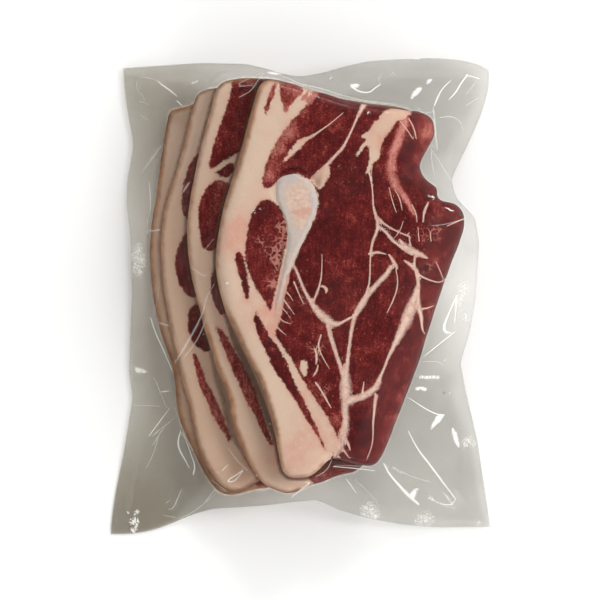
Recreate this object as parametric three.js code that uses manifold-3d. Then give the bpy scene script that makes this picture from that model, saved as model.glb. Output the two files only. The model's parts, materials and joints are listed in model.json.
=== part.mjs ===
// A clear vacuum pouch with four pork shoulder chops, stacked and fanned to the left.
// Millimetres, +Z up, origin under the middle of the pouch, +Y towards the pouch's top seam.
// The pouch is a solid out to its film: a thin skin over the meat and a flat flange round it.
// Its underside is open where the bottom chop rests, so the meat's cavity isn't sealed.

import * as THREE from 'three';
import { mergeVertices } from 'three/addons/utils/BufferGeometryUtils.js';
import Module from 'manifold-3d';

// ---- Driving dimensions -------------------------------------------------------------

const CHOP_THICKNESS = 14;
const CHOP_GAP = 0.8;         // air left between two stacked chops
const RIM_ROUNDING = 5;       // how far in from its edge a chop reaches its full thickness
const DROOP_REACH = 60;       // past a lower chop's edge, the meat above sinks back over this
const FIT_GAP = 0.6;          // air between the meat and what surrounds it
const FILM_SKIN = 1;          // pouch wall over the meat
const FLANGE_THICKNESS = 1.4; // both sheets together, near the meat
const SEAM_THICKNESS = 0.9;   // both sheets together, at the welded edge
const FLANGE_FILLET = 11;     // the sheets part over this distance to climb round the meat
const EDGE_LIFT_REACH = 16;   // a seam this near to the meat is held up off the surface by it

// Outlines as seen from above. A chop's rind side runs from its toe, at the lower right,
// round the rind to its top left corner. All four are slices of one joint, so they share
// the muscle side, which is shifted for each.
const MUSCLE_SIDE = [
  [-8, 111], [5, 108], [23.5, 101.5], [41.5, 98.5], [58, 96.5], [68.5, 93], [70, 84.5],
  [65.5, 76], [61.5, 67.5], [66, 59.5], [71.5, 56.5], [71, 50], [80.5, 48.5], [86, 41.5],
  [83, 28], [77, 12.5], [69.5, -9.5], [62, -33], [54.5, -53.5], [45.5, -76],
];
const SLICE_CENTRE = [-2, 13]; // a point that every stretch of the rim can be seen from
const CHOPS = [
  {
    name: 'chop_1',
    muscleShift: [-26, 0],
    rindSide: [
      [8, -93], [-10, -99], [-28, -103], [-39.5, -105.5], [-49, -96], [-54, -85.5],
      [-62, -70], [-65.5, -54.5], [-66.5, -38.5], [-73.5, -20], [-77.5, -2], [-79.5, 19],
      [-79, 35], [-76, 52.5], [-73.5, 71.5], [-71, 87.5], [-68.5, 99], [-60.5, 99],
    ],
  },
  {
    name: 'chop_2',
    muscleShift: [-18, 1],
    rindSide: [
      [18, -89], [5, -91], [-9, -95], [-23, -97], [-31.5, -102.5], [-40.5, -100.5],
      [-49.5, -88.5], [-55, -73.5], [-57.5, -59], [-62, -43.5], [-67, -22.5], [-70.5, -4.5],
      [-73, 14], [-73, 34.5], [-70, 50.5], [-65, 66], [-60.5, 81.5], [-57, 97.5],
      [-53, 108], [-46, 109],
    ],
  },
  {
    name: 'chop_3',
    muscleShift: [-8, 3],
    rindSide: [
      [32, -91], [23.5, -92], [11.5, -97], [2, -100], [-5, -103.5], [-15.5, -100.5],
      [-22, -95.5], [-28, -84], [-35.5, -70.5], [-38.5, -54], [-45.5, -33], [-52, -10],
      [-57, 8.5], [-59, 24], [-59.5, 37], [-57, 55.5], [-54, 71], [-50.5, 84.5],
      [-46.5, 98.5], [-43, 111], [-35.5, 113.5],
    ],
  },
  {
    name: 'chop_4',
    muscleShift: [0, 0],
    rindSide: [
      [39.5, -88], [27, -86.5], [15.5, -84], [8.5, -92.5], [0, -94.5], [-8.5, -93],
      [-11, -84.5], [-15, -64], [-23, -43], [-33, -22.5], [-41.5, -2], [-44.5, 19],
      [-41, 44.5], [-32, 70.5], [-25.5, 96.5], [-19.5, 113.5],
    ],
  },
];

// The section of the shoulder blade's cartilage in the top chop: a head and a long tail.
const CARTILAGE = [
  [-1.5, 63.5], [6, 58.5], [9.2, 48], [6.3, 37.5], [0, 24.5], [-6.5, 9], [-9.4, -2],
  [-12.2, -12.5], [-14.8, -20], [-16.4, -19.6], [-14.6, -12], [-12.8, -2], [-10.8, 8],
  [-7.4, 24.5], [-6.6, 37], [-9.6, 45], [-13, 52], [-11.6, 60], [-8, 62.5],
];

// Low swellings of the top chop's cut face: middle, radius and height of each muscle.
const MUSCLE_MOUNDS = [
  { at: [12, 22], radius: 34, height: 0.8 },
  { at: [10, -44], radius: 30, height: 0.7 },
  { at: [60, 20], radius: 28, height: 0.7 },
];

// The pouch's four edges. The corners are sharp, and the contents pull the edges in.
const POUCH_EDGES = {
  top: [
    [-93, 120], [-76, 121], [-34, 122.5], [-18, 119], [-8, 115.5], [3, 114.5], [18.5, 119],
    [34, 123], [55, 124.5], [76, 125], [92, 122.5], [99, 119],
  ],
  right: [
    [99, 119], [99.5, 111], [96.5, 99], [91, 86], [84, 71.5], [78.5, 61], [81.5, 50.5],
    [91, 41], [93.5, 28], [92, 0], [89, -18], [84, -35], [87, -50], [93, -75], [100, -121],
  ],
  bottom: [
    [100, -121], [65, -121], [44, -118], [23.5, -113], [8, -106], [-8, -108], [-24, -110],
    [-44, -111], [-58, -115], [-71, -121], [-84, -124.5], [-100, -125],
  ],
  left: [
    [-100, -125], [-96, -96], [-88, -57], [-90, -36], [-88.5, -10], [-89, 30], [-91.5, 54],
    [-89, 70], [-87.5, 82], [-91, 97], [-93, 120],
  ],
};

// How finely the outlines are divided: their bends have the closer points.
const CHOP_SIDES = 54;
const POUCH_EDGE_STEPS = 14;
const CARTILAGE_SIDES = 30;

// ---- Plane geometry -----------------------------------------------------------------

function smoothStep(x) {
  const t = Math.min(1, Math.max(0, x));
  return t * t * (3 - 2 * t);
}

function closedCurve(points, sides) {
  const corners = points.map(([x, y]) => new THREE.Vector3(x, y, 0));
  const curve = new THREE.CatmullRomCurve3(corners, true, 'centripetal');
  return curve.getPoints(sides).slice(0, sides).map((p) => new THREE.Vector2(p.x, p.y));
}

function openCurve(points, steps) {
  const corners = points.map(([x, y]) => new THREE.Vector3(x, y, 0));
  const curve = new THREE.CatmullRomCurve3(corners, false, 'centripetal');
  return curve.getPoints(steps).slice(0, steps).map((p) => new THREE.Vector2(p.x, p.y));
}

// Turns the outline to run anticlockwise.
function anticlockwise(outline) {
  return THREE.ShapeUtils.area(outline) < 0 ? outline.slice().reverse() : outline;
}

// The outline moved outwards by a distance, along each corner's own normal.
function grown(outline, distance) {
  const count = outline.length;
  return outline.map((point, i) => {
    const before = outline[(i + count - 1) % count];
    const after = outline[(i + 1) % count];
    const along = after.clone().sub(before).normalize();
    return new THREE.Vector2(point.x + along.y * distance, point.y - along.x * distance);
  });
}

// Distance to the outline, positive inside it.
function depthInside(outline, x, y) {
  const count = outline.length;
  let nearest = Infinity;
  let inside = false;
  for (let i = 0; i < count; i += 1) {
    const a = outline[i];
    const b = outline[(i + 1) % count];
    const ex = b.x - a.x;
    const ey = b.y - a.y;
    const part = ((x - a.x) * ex + (y - a.y) * ey) / (ex * ex + ey * ey);
    const t = Math.min(1, Math.max(0, part));
    nearest = Math.min(nearest, Math.hypot(x - a.x - ex * t, y - a.y - ey * t));
    const crosses = a.y > y !== b.y > y;
    if (crosses && x < a.x + (ex * (y - a.y)) / ey) {
      inside = !inside;
    }
  }
  return inside ? nearest : -nearest;
}

// How far the outline reaches from a centre in one direction.
function reach(outline, centre, direction) {
  const count = outline.length;
  let farthest = 0;
  for (let i = 0; i < count; i += 1) {
    const a = outline[i].clone().sub(centre);
    const edge = outline[(i + 1) % count].clone().sub(outline[i]);
    const denominator = direction.cross(edge);
    if (Math.abs(denominator) > 1e-9) {
      const distance = a.cross(edge) / denominator;
      const share = a.cross(direction) / denominator;
      if (distance > 0 && share >= 0 && share <= 1) {
        farthest = Math.max(farthest, distance);
      }
    }
  }
  return farthest;
}

// ---- The stack ----------------------------------------------------------------------

const stack = CHOPS.map((chop) => {
  const [shiftX, shiftY] = chop.muscleShift;
  const muscleSide = MUSCLE_SIDE.map(([x, y]) => [x + shiftX, y + shiftY]);
  const outline = anticlockwise(closedCurve([...muscleSide, ...chop.rindSide], CHOP_SIDES));
  const centre = new THREE.Vector2(SLICE_CENTRE[0] + shiftX, SLICE_CENTRE[1] + shiftY);
  return { name: chop.name, outline, centre };
});

// Underside of chop number `level`: each chop below lifts it by one chop's thickness,
// and past that chop's edge the meat sinks back smoothly.
function baseHeight(level, x, y) {
  let height = 0;
  for (let below = 0; below < level; below += 1) {
    const overhang = Math.max(0, -depthInside(stack[below].outline, x, y));
    height += (CHOP_THICKNESS + CHOP_GAP) * (1 - smoothStep(overhang / DROOP_REACH));
  }
  return height;
}

// The uneven swell of the top chop's cut face.
function muscleSwell(level, x, y) {
  if (level < stack.length - 1) {
    return 0;
  }
  return MUSCLE_MOUNDS.reduce((sum, mound) => {
    const distance = Math.hypot(x - mound.at[0], y - mound.at[1]);
    return sum + mound.height * Math.exp(-((distance / mound.radius) ** 2));
  }, 0);
}

function topHeight(level, x, y) {
  return baseHeight(level, x, y) + CHOP_THICKNESS + muscleSwell(level, x, y);
}

// Where a chop's rings of vertices lie: rim rings by distance in from the edge, as parts
// of the rounding, then inner rings by their share of the way from the centre to the edge.
const RIM_RINGS = [0, 0.3, 1];
const INNER_RINGS = [0.8, 0.5];

// One chop as a closed slab with a rounded rim. `growth` makes it bigger all round, and
// `sunk` lowers its underside further. Nothing goes below `floor`.
function chopSlab(level, growth, sunk, floor) {
  const outline = grown(stack[level].outline, growth);
  const { centre } = stack[level];
  const rounding = RIM_ROUNDING + growth;
  const rings = [];
  for (const part of RIM_RINGS) {
    const ring = outline.map((point) => {
      const inward = centre.clone().sub(point).normalize();
      return point.clone().addScaledVector(inward, part * rounding);
    });
    rings.push({ ring, bulge: Math.sqrt(1 - (1 - part) ** 2) });
  }
  const innermostRim = rings[rings.length - 1].ring;
  for (const share of INNER_RINGS) {
    const ring = innermostRim.map((point) => centre.clone().lerp(point, share));
    rings.push({ ring, bulge: 1 });
  }
  rings.push({ ring: [centre], bulge: 1 });

  const heightAt = (x, y, bulge, side) => {
    const low = baseHeight(level, x, y) - growth - sunk;
    const high = topHeight(level, x, y) + growth;
    const middle = baseHeight(level, x, y) + CHOP_THICKNESS / 2;
    const wanted = side > 0 ? middle + (high - middle) * bulge : middle - (middle - low) * bulge;
    return Math.max(floor, wanted);
  };
  return closedShell(rings, heightAt);
}

// A closed shell from rings that shrink to one centre point. The first ring is the edge,
// where top and underside meet, and the others lie on both faces.
function closedShell(rings, heightAt) {
  const positions = [];
  const triangles = [];
  const sides = rings[0].ring.length;
  const addRing = ({ ring, bulge }, side) => {
    const first = positions.length / 3;
    ring.forEach((p) => positions.push(p.x, p.y, heightAt(p.x, p.y, bulge, side)));
    return first;
  };
  const edge = addRing(rings[0], 1);
  for (const side of [1, -1]) {
    let outer = edge;
    for (const ring of rings.slice(1)) {
      const inner = addRing(ring, side);
      for (let i = 0; i < sides; i += 1) {
        const next = (i + 1) % sides;
        const quad = ring.ring.length === 1
          ? [[outer + i, outer + next, inner]]
          : [[outer + i, outer + next, inner + next], [outer + i, inner + next, inner + i]];
        quad.forEach(([a, b, c]) => triangles.push(a, ...(side > 0 ? [b, c] : [c, b])));
      }
      outer = inner;
    }
  }
  return toGeometry(positions, triangles);
}

function toGeometry(positions, triangles) {
  const geometry = new THREE.BufferGeometry();
  geometry.setAttribute('position', new THREE.BufferAttribute(new Float32Array(positions), 3));
  geometry.setIndex(triangles);
  return geometry;
}

// ---- The flange ---------------------------------------------------------------------

const pouchRim = anticlockwise(
  Object.values(POUCH_EDGES).flatMap((edge) => openCurve(edge, POUCH_EDGE_STEPS)),
);
const packCentre = stack[stack.length - 1].centre;
const FLANGE_INSET = 7;                      // the flange starts this far inside the meat
const FLANGE_CLIMB = CHOP_THICKNESS * 0.3;   // how far each sheet climbs where it meets the meat
const HIDDEN_WALL = CHOP_THICKNESS * 0.4;    // height of the flange's inner wall
const HIDDEN_WALL_FLOOR = 1;
const FLANGE_RINGS = [0, 0.2, 0.6, 1];       // shares of the way from the meat to the edge

// One spoke of the flange for each point of the pouch's edge: where it leaves the meat,
// how high the outermost chop's rim is there, and how high the edge floats.
function flangeSpokes() {
  const spokes = pouchRim.map((edge) => {
    const direction = edge.clone().sub(packCentre).normalize();
    const reaches = stack.map((chop) => reach(chop.outline, packCentre, direction));
    const distance = Math.max(...reaches);
    const level = reaches.lastIndexOf(distance);
    const start = packCentre.clone().addScaledVector(direction, distance);
    const rim = baseHeight(level, start.x, start.y) + CHOP_THICKNESS / 2;
    return { edge, direction, start, rim };
  });
  const count = spokes.length;
  const AVERAGED = 3; // neighbours on each side that smooth the rim's height
  spokes.forEach((spoke, i) => {
    let sum = 0;
    for (let k = -AVERAGED; k <= AVERAGED; k += 1) {
      sum += spokes[(i + k + count) % count].rim;
    }
    spoke.middle = sum / (2 * AVERAGED + 1);
    const rest = SEAM_THICKNESS / 2;
    const near = Math.exp(-spoke.edge.distanceTo(spoke.start) / EDGE_LIFT_REACH);
    spoke.lift = rest + (spoke.middle - rest) * near;
  });
  return spokes;
}

// The flange is a closed ring: upper sheet, welded edge, lower sheet and a hidden inner
// wall that ends inside the meat's skin.
function flangeRing() {
  const spokes = flangeSpokes();
  const sides = spokes.length;
  const positions = [];
  const triangles = [];
  const loops = [];
  const addLoop = (place) => {
    loops.push(positions.length / 3);
    spokes.forEach((spoke) => positions.push(...place(spoke)));
  };
  const sheet = (share, side) => (spoke) => {
    const point = spoke.start.clone().lerp(spoke.edge, share);
    const away = point.distanceTo(spoke.start);
    const middle = spoke.middle + (spoke.lift - spoke.middle) * smoothStep(share);
    const half = (FLANGE_THICKNESS + (SEAM_THICKNESS - FLANGE_THICKNESS) * share) / 2;
    const climb = Math.max(0, 1 - away / FLANGE_FILLET) ** 2 * FLANGE_CLIMB;
    const height = middle + side * (half + climb);
    return [point.x, point.y, side > 0 ? Math.max(2 * half, height) : Math.max(0, height)];
  };
  const inner = (side) => (spoke) => {
    const point = spoke.start.clone().addScaledVector(spoke.direction, -FLANGE_INSET);
    const height = spoke.middle + (side * HIDDEN_WALL) / 2;
    return [point.x, point.y, Math.max(HIDDEN_WALL_FLOOR, height)];
  };
  addLoop(inner(1));
  FLANGE_RINGS.forEach((share) => addLoop(sheet(share, 1)));
  FLANGE_RINGS.slice().reverse().forEach((share) => addLoop(sheet(share, -1)));
  addLoop(inner(-1));
  loops.forEach((outer, k) => {
    const next = loops[(k + 1) % loops.length];
    for (let i = 0; i < sides; i += 1) {
      const j = (i + 1) % sides;
      triangles.push(outer + i, next + j, outer + j, outer + i, next + i, next + j);
    }
  });
  return toGeometry(positions, triangles);
}

// ---- Joining and cutting ------------------------------------------------------------

const wasm = await Module();
wasm.setup();

function toSolid(geometry) {
  const bare = geometry.clone();
  bare.deleteAttribute('normal');
  bare.deleteAttribute('uv');
  const merged = mergeVertices(bare, 1e-4);
  return new wasm.Manifold(new wasm.Mesh({
    numProp: 3,
    vertProperties: new Float32Array(merged.attributes.position.array),
    triVerts: new Uint32Array(merged.index.array),
  }));
}

function fromSolid(solid) {
  const mesh = solid.getMesh();
  return toGeometry(mesh.vertProperties, Array.from(mesh.triVerts));
}

// ---- The pieces ---------------------------------------------------------------------

const TOP = stack.length - 1;
const BELOW_FLOOR = -5; // a cutter goes this far down where it opens the underside

// A prism through the top chop between its two faces, for the cartilage and its hole.
function cartilagePrism(growth, overrun) {
  const outline = grown(anticlockwise(closedCurve(CARTILAGE, CARTILAGE_SIDES)), growth);
  const geometry = new THREE.ExtrudeGeometry(new THREE.Shape(outline), {
    depth: 1,
    bevelEnabled: false,
  });
  const place = geometry.attributes.position;
  for (let i = 0; i < place.count; i += 1) {
    const x = place.getX(i);
    const y = place.getY(i);
    const isTop = place.getZ(i) > 0.5;
    const height = isTop ? topHeight(TOP, x, y) + overrun : baseHeight(TOP, x, y) - overrun;
    place.setZ(i, height);
  }
  return geometry;
}

function chopGeometry(level) {
  let chop = toSolid(chopSlab(level, 0, 0, 0));
  if (level > 0) {
    chop = chop.subtract(toSolid(chopSlab(level - 1, FIT_GAP, 0, BELOW_FLOOR)));
  }
  if (level === TOP) {
    chop = chop.subtract(toSolid(cartilagePrism(FIT_GAP, CHOP_THICKNESS / 2)));
  }
  return fromSolid(chop);
}

function pouchGeometry() {
  const slit = CHOP_GAP + FIT_GAP; // the skin doesn't enter the slit between two chops
  let body = toSolid(flangeRing());
  stack.forEach((_, level) => {
    body = body.add(toSolid(chopSlab(level, FIT_GAP + FILM_SKIN, slit, 0)));
  });
  stack.forEach((_, level) => {
    const sunk = level === 0 ? -BELOW_FLOOR : slit;
    body = body.subtract(toSolid(chopSlab(level, FIT_GAP, sunk, BELOW_FLOOR)));
  });
  const pieces = body.decompose();
  pieces.sort((a, b) => b.volume() - a.volume());
  return fromSolid(pieces[0]);
}

const filmFinish = new THREE.MeshStandardMaterial({
  color: '#d8d8d4', roughness: 0.12, metalness: 0, transparent: true, opacity: 0.35,
});
const meatFinish = new THREE.MeshStandardMaterial({
  color: '#7a2a2c', roughness: 0.35, metalness: 0,
});
const cartilageFinish = new THREE.MeshStandardMaterial({
  color: '#cfc6c6', roughness: 0.3, metalness: 0,
});

function piece(name, geometry, material) {
  const mesh = new THREE.Mesh(geometry, material);
  mesh.name = name;
  return mesh;
}

const pack = new THREE.Group();
pack.add(piece('vacuum_pouch', pouchGeometry(), filmFinish));
stack.forEach((chop, level) => {
  pack.add(piece(chop.name, chopGeometry(level), meatFinish));
});
pack.add(piece('blade_cartilage', cartilagePrism(0, 0), cartilageFinish));

export default pack;
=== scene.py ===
"""Pack of pork shoulder chops: slices fanned to the left in a clear vacuum pouch, lying flat.

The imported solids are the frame. Each chop is a remeshed and sculpted copy of its solid, whose
lean, fat, seams and rind are measured from named outlines and kept as point attributes. The
pouch is one closed film: a top sheet that clings to the meat and creases in the flange, and
an underside, welded together round the pouch's edge.
"""

import json
import math

import bpy
import numpy as np
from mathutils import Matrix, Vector
from mathutils.bvhtree import BVHTree

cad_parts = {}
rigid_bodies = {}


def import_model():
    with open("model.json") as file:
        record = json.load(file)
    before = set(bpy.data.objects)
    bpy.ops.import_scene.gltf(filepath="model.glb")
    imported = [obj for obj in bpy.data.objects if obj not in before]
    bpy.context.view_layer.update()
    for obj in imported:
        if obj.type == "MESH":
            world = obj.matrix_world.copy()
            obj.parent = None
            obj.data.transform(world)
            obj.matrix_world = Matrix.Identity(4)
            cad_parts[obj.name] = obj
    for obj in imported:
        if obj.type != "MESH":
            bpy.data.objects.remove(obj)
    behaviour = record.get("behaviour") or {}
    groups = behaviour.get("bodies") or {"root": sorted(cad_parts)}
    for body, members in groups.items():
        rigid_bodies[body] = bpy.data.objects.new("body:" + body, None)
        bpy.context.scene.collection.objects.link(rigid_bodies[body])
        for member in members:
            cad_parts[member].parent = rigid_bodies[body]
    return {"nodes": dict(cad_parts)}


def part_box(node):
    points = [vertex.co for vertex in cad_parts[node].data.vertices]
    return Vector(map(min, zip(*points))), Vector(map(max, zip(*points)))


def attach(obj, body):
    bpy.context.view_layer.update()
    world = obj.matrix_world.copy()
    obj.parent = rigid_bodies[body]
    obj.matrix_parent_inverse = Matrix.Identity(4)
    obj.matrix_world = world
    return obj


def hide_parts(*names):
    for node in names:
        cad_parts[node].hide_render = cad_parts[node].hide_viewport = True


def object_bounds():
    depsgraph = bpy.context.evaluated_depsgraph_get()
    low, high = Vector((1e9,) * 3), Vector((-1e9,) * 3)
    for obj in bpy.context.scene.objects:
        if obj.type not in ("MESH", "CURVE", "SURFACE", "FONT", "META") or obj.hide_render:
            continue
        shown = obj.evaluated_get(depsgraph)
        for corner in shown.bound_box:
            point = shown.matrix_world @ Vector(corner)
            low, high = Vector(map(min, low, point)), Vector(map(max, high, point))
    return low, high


bl_info = {
    "name": "Vacuum pack of pork chops",
    "version": (1, 0, 0),
    "blender": (4, 5, 0),
    "location": "3D View > Sidebar > Chops",
    "description": "Models fanned pork shoulder chops in a clear vacuum pouch",
    "category": "Object",
}

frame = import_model()
CAD_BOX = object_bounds()
MM = 0.001

# ---- The photograph's frame ---------------------------------------------------------
# Outlines on the meat and creases in the film are read off the photograph, in its pixels.
# The camera looks straight down from CAMERA_HEIGHT, so a place higher up is a little nearer
# to the middle than its pixel says.
PHOTO_PIXELS = 600
PHOTO_ORIGIN = (300.0, 296.5)  # the pixel over the pack's origin
PIXEL = 0.526  # millimetres across, on the floor
CAMERA_HEIGHT = 3000.0  # millimetres
SENSOR = 36.0  # width of the camera's sensor, in millimetres


def from_photo(pixels, height=0.0):
    """Millimetres in the pack's frame, at a height, of pixels in the photograph."""
    share = PIXEL * (1 - height / CAMERA_HEIGHT)
    pixels = np.asarray(pixels, float)
    place = pixels.copy()
    place[:, 0] = (pixels[:, 0] - PHOTO_ORIGIN[0]) * share
    place[:, 1] = (PHOTO_ORIGIN[1] - pixels[:, 1]) * share
    if pixels.shape[1] > 2:
        place[:, 2] = pixels[:, 2] * share
    return place


# ---- The top chop's cut face, in the photograph's pixels ----------------------------
TOP_FACE = 58.5  # millimetres above the floor

# Everything right of this line is lean, but for the fat listed further down.
LEAN_FIELD = [
    (317, 88), (308, 104), (300, 112), (290, 122), (282, 133), (275, 145), (268, 158),
    (264, 170), (262, 182), (264, 188), (270, 189), (276, 183), (284, 177), (297, 174),
    (308, 178), (316, 188), (319, 202), (316, 216), (310, 228), (303, 241), (298, 252),
    (294, 263), (291, 270), (289, 278), (287, 286), (285, 296), (282, 312),
    (278, 324), (274, 335), (279, 341), (285, 350), (291, 358), (296, 368), (303, 380),
    (312, 394), (318, 404), (326, 415), (331, 425), (336, 433), (339, 440), (338, 448),
    (333, 455), (330, 461), (330, 480), (400, 480), (480, 330), (490, 150), (440, 90),
    (380, 88),
]
# Lean areas inside the fat band, and their own tones.
LEAN_AREAS = {
    "rind_streak": (1.0, [(274, 82), (277, 82), (276, 92), (271, 103), (267, 115), (264, 113),
                          (266, 100), (270, 92)]),
    "top_patch": (1.08, [(279, 78), (290, 80), (301, 86), (305, 91), (297, 99), (290, 105),
                         (287, 112), (284, 112), (283, 104), (279, 98)]),
    "pink_streak_1": (1.5, [(300, 99), (306, 92), (310, 89), (308, 95), (303, 101)]),
    "pink_streak_2": (1.3, [(305, 102), (310, 94), (317, 88), (315, 95), (309, 103)]),
    "marbled_oval": (0.57, [(268, 199), (276, 202), (283, 212), (287, 225), (288, 240),
                            (286, 250), (282, 262), (279, 275), (276, 290), (273, 305),
                            (270, 315), (265, 300), (258, 293), (252, 280), (247, 268),
                            (245, 255), (246, 240), (248, 225), (252, 212), (258, 203)]),
    "dark_sliver": (0.45, [(234, 256), (238, 250), (242, 254), (246, 267), (249, 282),
                           (250, 299), (246, 300), (243, 291), (239, 273)]),
    "long_muscle": (0.38, [(254, 311), (257, 312), (262, 322), (267, 332), (274, 342),
                           (280, 350), (285, 358), (292, 375), (299, 390), (303, 400),
                           (310, 412), (317, 428), (323, 443), (327, 453), (320, 441),
                           (312, 428), (305, 417), (298, 405), (289, 392), (280, 378),
                           (272, 367), (268, 357), (260, 340), (256, 330), (253, 320)]),
}
FAT_AREAS = {
    "wedge": [(309, 137), (304, 145), (296, 152), (288, 160), (282, 164), (288, 154),
              (295, 145), (299, 139)],
    "triangle": [(329, 163), (330, 176), (325, 184), (320, 190), (316, 186), (309, 178),
                 (318, 171)],
    "top_fat": [(402, 105), (414, 110), (404, 119), (400, 120), (393, 125), (389, 133),
                (383, 140), (381, 148), (380, 155), (378, 161), (373, 163), (370, 170),
                (366, 175), (368, 165), (370, 155), (370, 147), (365, 146), (354, 160),
                (362, 145), (367, 139), (360, 137), (365, 134), (370, 130), (371, 124),
                (378, 120), (383, 113), (392, 108)],
    "crumb": [(302, 361), (306, 361), (308, 366), (307, 372), (305, 377), (302, 374),
              (300, 370), (300, 364)],
}
# Seams of fat: x, y and width along each.
FAT_SEAMS = [
    [(343, 113, .9), (330, 124, 1.3), (320, 131, 1.6), (311, 137, 3), (302, 141, 5)],
    [(365, 103, 6), (360, 112, 4), (356, 120, 2.4), (352, 130, 2), (347, 140, 2.5),
     (343, 148, 3.4), (336, 155, 3), (328, 164, 4), (314, 178, 5)],
    [(368, 168, 3), (371, 180, 1.6), (373, 195, 1.5), (373, 205, 2), (375, 213, 3),
     (378, 222, 4), (377, 232, 3), (373, 240, 3), (371, 250, 2.5), (370, 262, 1.6),
     (370, 275, 1.5), (369, 285, 2), (366, 295, 3), (361, 303, 4), (356, 312, 4.5),
     (353, 322, 4.5), (350, 340, 3.5), (348, 358, 3.6), (346, 372, 6)],
    [(346, 372, 6), (345, 384, 11), (346, 394, 13), (345, 404, 8), (345, 412, 6.5),
     (346, 424, 7), (343, 434, 10), (340, 446, 9), (335, 456, 5)],
    [(428, 203, 2), (424, 212, 3.2), (423, 222, 1.4)],
    [(389, 188, .8), (392, 200, 1.2), (396, 212, .8)],
    [(395, 190, .8), (400, 199, 1.3), (402, 210, .8)],
    [(378, 218, 3), (385, 225, 2.2), (396, 231, 1.6), (410, 237, 1.4)],
    [(378, 226, 3.4), (386, 232, 3.4), (392, 240, 3.6), (397, 244, 2.6), (403, 249, 3),
     (412, 254, 4)],
    [(409, 233, 1), (409, 239, 1.4), (411, 246, 1.8)],
    [(400, 240, 2), (405, 247, 6), (411, 251, 8), (419, 254, 6), (427, 258, 2)],
    [(418, 228, .8), (419, 241, 1.2)],
    [(430, 232, .8), (431, 241, 1.2)],
    [(370, 254, 3.4), (377, 252, 3), (385, 254, 1.4)],
    [(389, 255, 2), (394, 262, 4), (397, 268, 3)],
    [(405, 261, 2), (411, 265, 4), (417, 271, 4)],
    [(391, 267, 5), (386, 275, 5.2), (380, 281, 5.2), (372, 290, 5), (366, 298, 5),
     (362, 306, 5), (356, 315, 4)],
    [(415, 257, 2.2), (414, 266, 2.6), (417, 273, 3), (422, 277, 2), (432, 281, 1.5),
     (441, 283, 1.2), (449, 277, 1)],
    [(416, 272, 3), (419, 283, 4), (418, 295, 4), (419, 308, 5), (422, 318, 4),
     (422, 328, 2.2), (425, 334, .8)],
    [(418, 288, 5), (414, 300, 8), (410, 312, 12), (404, 325, 10), (398, 338, 7),
     (392, 350, 4), (388, 358, 2.6), (384, 369, 2.2), (380, 378, 4.2), (377, 386, 6.5),
     (371, 392, 6.5), (362, 397, 7), (354, 399, 8), (346, 402, 9)],
    [(396, 270, 1.2), (398, 280, 1.2), (397, 290, 1.4), (393, 301, 1.6), (387, 313, .8)],
    [(419, 308, 1.4), (426, 309, 1.8), (434, 306, .9)],
    [(376, 396, 4), (374, 410, 2.6), (373, 425, 2), (373, 434, 1.2), (372, 446, 1),
     (367, 458, .9)],
    [(291, 256, 4), (288, 268, 5), (286, 280, 4), (284, 292, 3)],
    [(292, 262, 3), (296, 270, 3), (299, 277, 3), (304, 290, 3), (309, 299, 4), (314, 307, 6),
     (320, 314, 8), (328, 321, 9), (336, 325, 6), (343, 322, 2.6), (352, 317, 2.4)],
    [(322, 255, .8), (322, 268, 1.1), (321, 279, 1.8), (318, 291, 2.4), (313, 302, 3)],
    [(322, 286, 2), (327, 289, 4), (326, 292, 2)],
    [(328, 324, 5), (331, 338, 5), (335, 350, 4), (339, 362, 4), (344, 376, 6)],
    [(321, 335, 1.5), (318, 345, 2.2), (320, 352, 1.5), (324, 360, 1.2), (329, 368, .7)],
    [(315, 349, 1.4), (317, 358, 3), (316, 364, 1.6)],
    [(318, 366, 1.4), (317, 371, 2.4), (314, 375, 2)],
    [(316, 383, 2), (321, 390, 2.2), (326, 399, 2.4), (331, 408, 1)],
    [(364, 382, .8), (363, 388, 1.8), (362, 394, 2.2)],
    [(447, 226, 1), (456, 222, 1), (466, 218, 1.2)],
    [(372, 166, 1.2), (371, 176, 1.6), (373, 186, 1)],
    [(270, 336, 2.4), (276, 341, 2), (284, 353, 2.4)],
    [(284, 289, 2.2), (290, 296, 1), (293, 301, .6)],
    [(283, 299, 2.4), (289, 307, 1.4), (294, 314, .6)],
    [(281, 307, 2), (287, 313, 1), (290, 318, .5)],
    [(279, 318, 2.2), (284, 322, 1.3), (291, 324, .6)],
    [(277, 327, 2), (282, 332, 1), (286, 335, .5)],
    [(294, 282, 2), (298, 292, 1.5), (303, 303, .8)],
    [(340, 446, 4), (345, 452, 2), (349, 458, .8)],
    [(343, 436, 4), (348, 443, 3), (350, 450, 1)],
    [(334, 452, 3), (340, 458, 1.4)],
    [(400, 121, 1), (408, 131, 1.3), (413, 139, .8)],
    [(409, 119, 1), (414, 128, 1.6), (416, 138, .9)],
    [(436, 262, .8), (440, 270, 1), (444, 279, .8)],
    [(403, 222, .8), (400, 231, 1), (396, 236, .8)],
    [(412, 205, 1), (416, 213, 1.4), (417, 222, .9)],
]
# The salmon band beside the top fat: x, y and width.
SALMON_BAND = [
    [(405, 119, 8), (401, 134, 8), (396, 147, 9), (392, 158, 9), (391, 170, 10), (393, 180, 9),
     (398, 188, 7), (404, 196, 6), (409, 204, 5), (414, 214, 3)],
]
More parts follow.
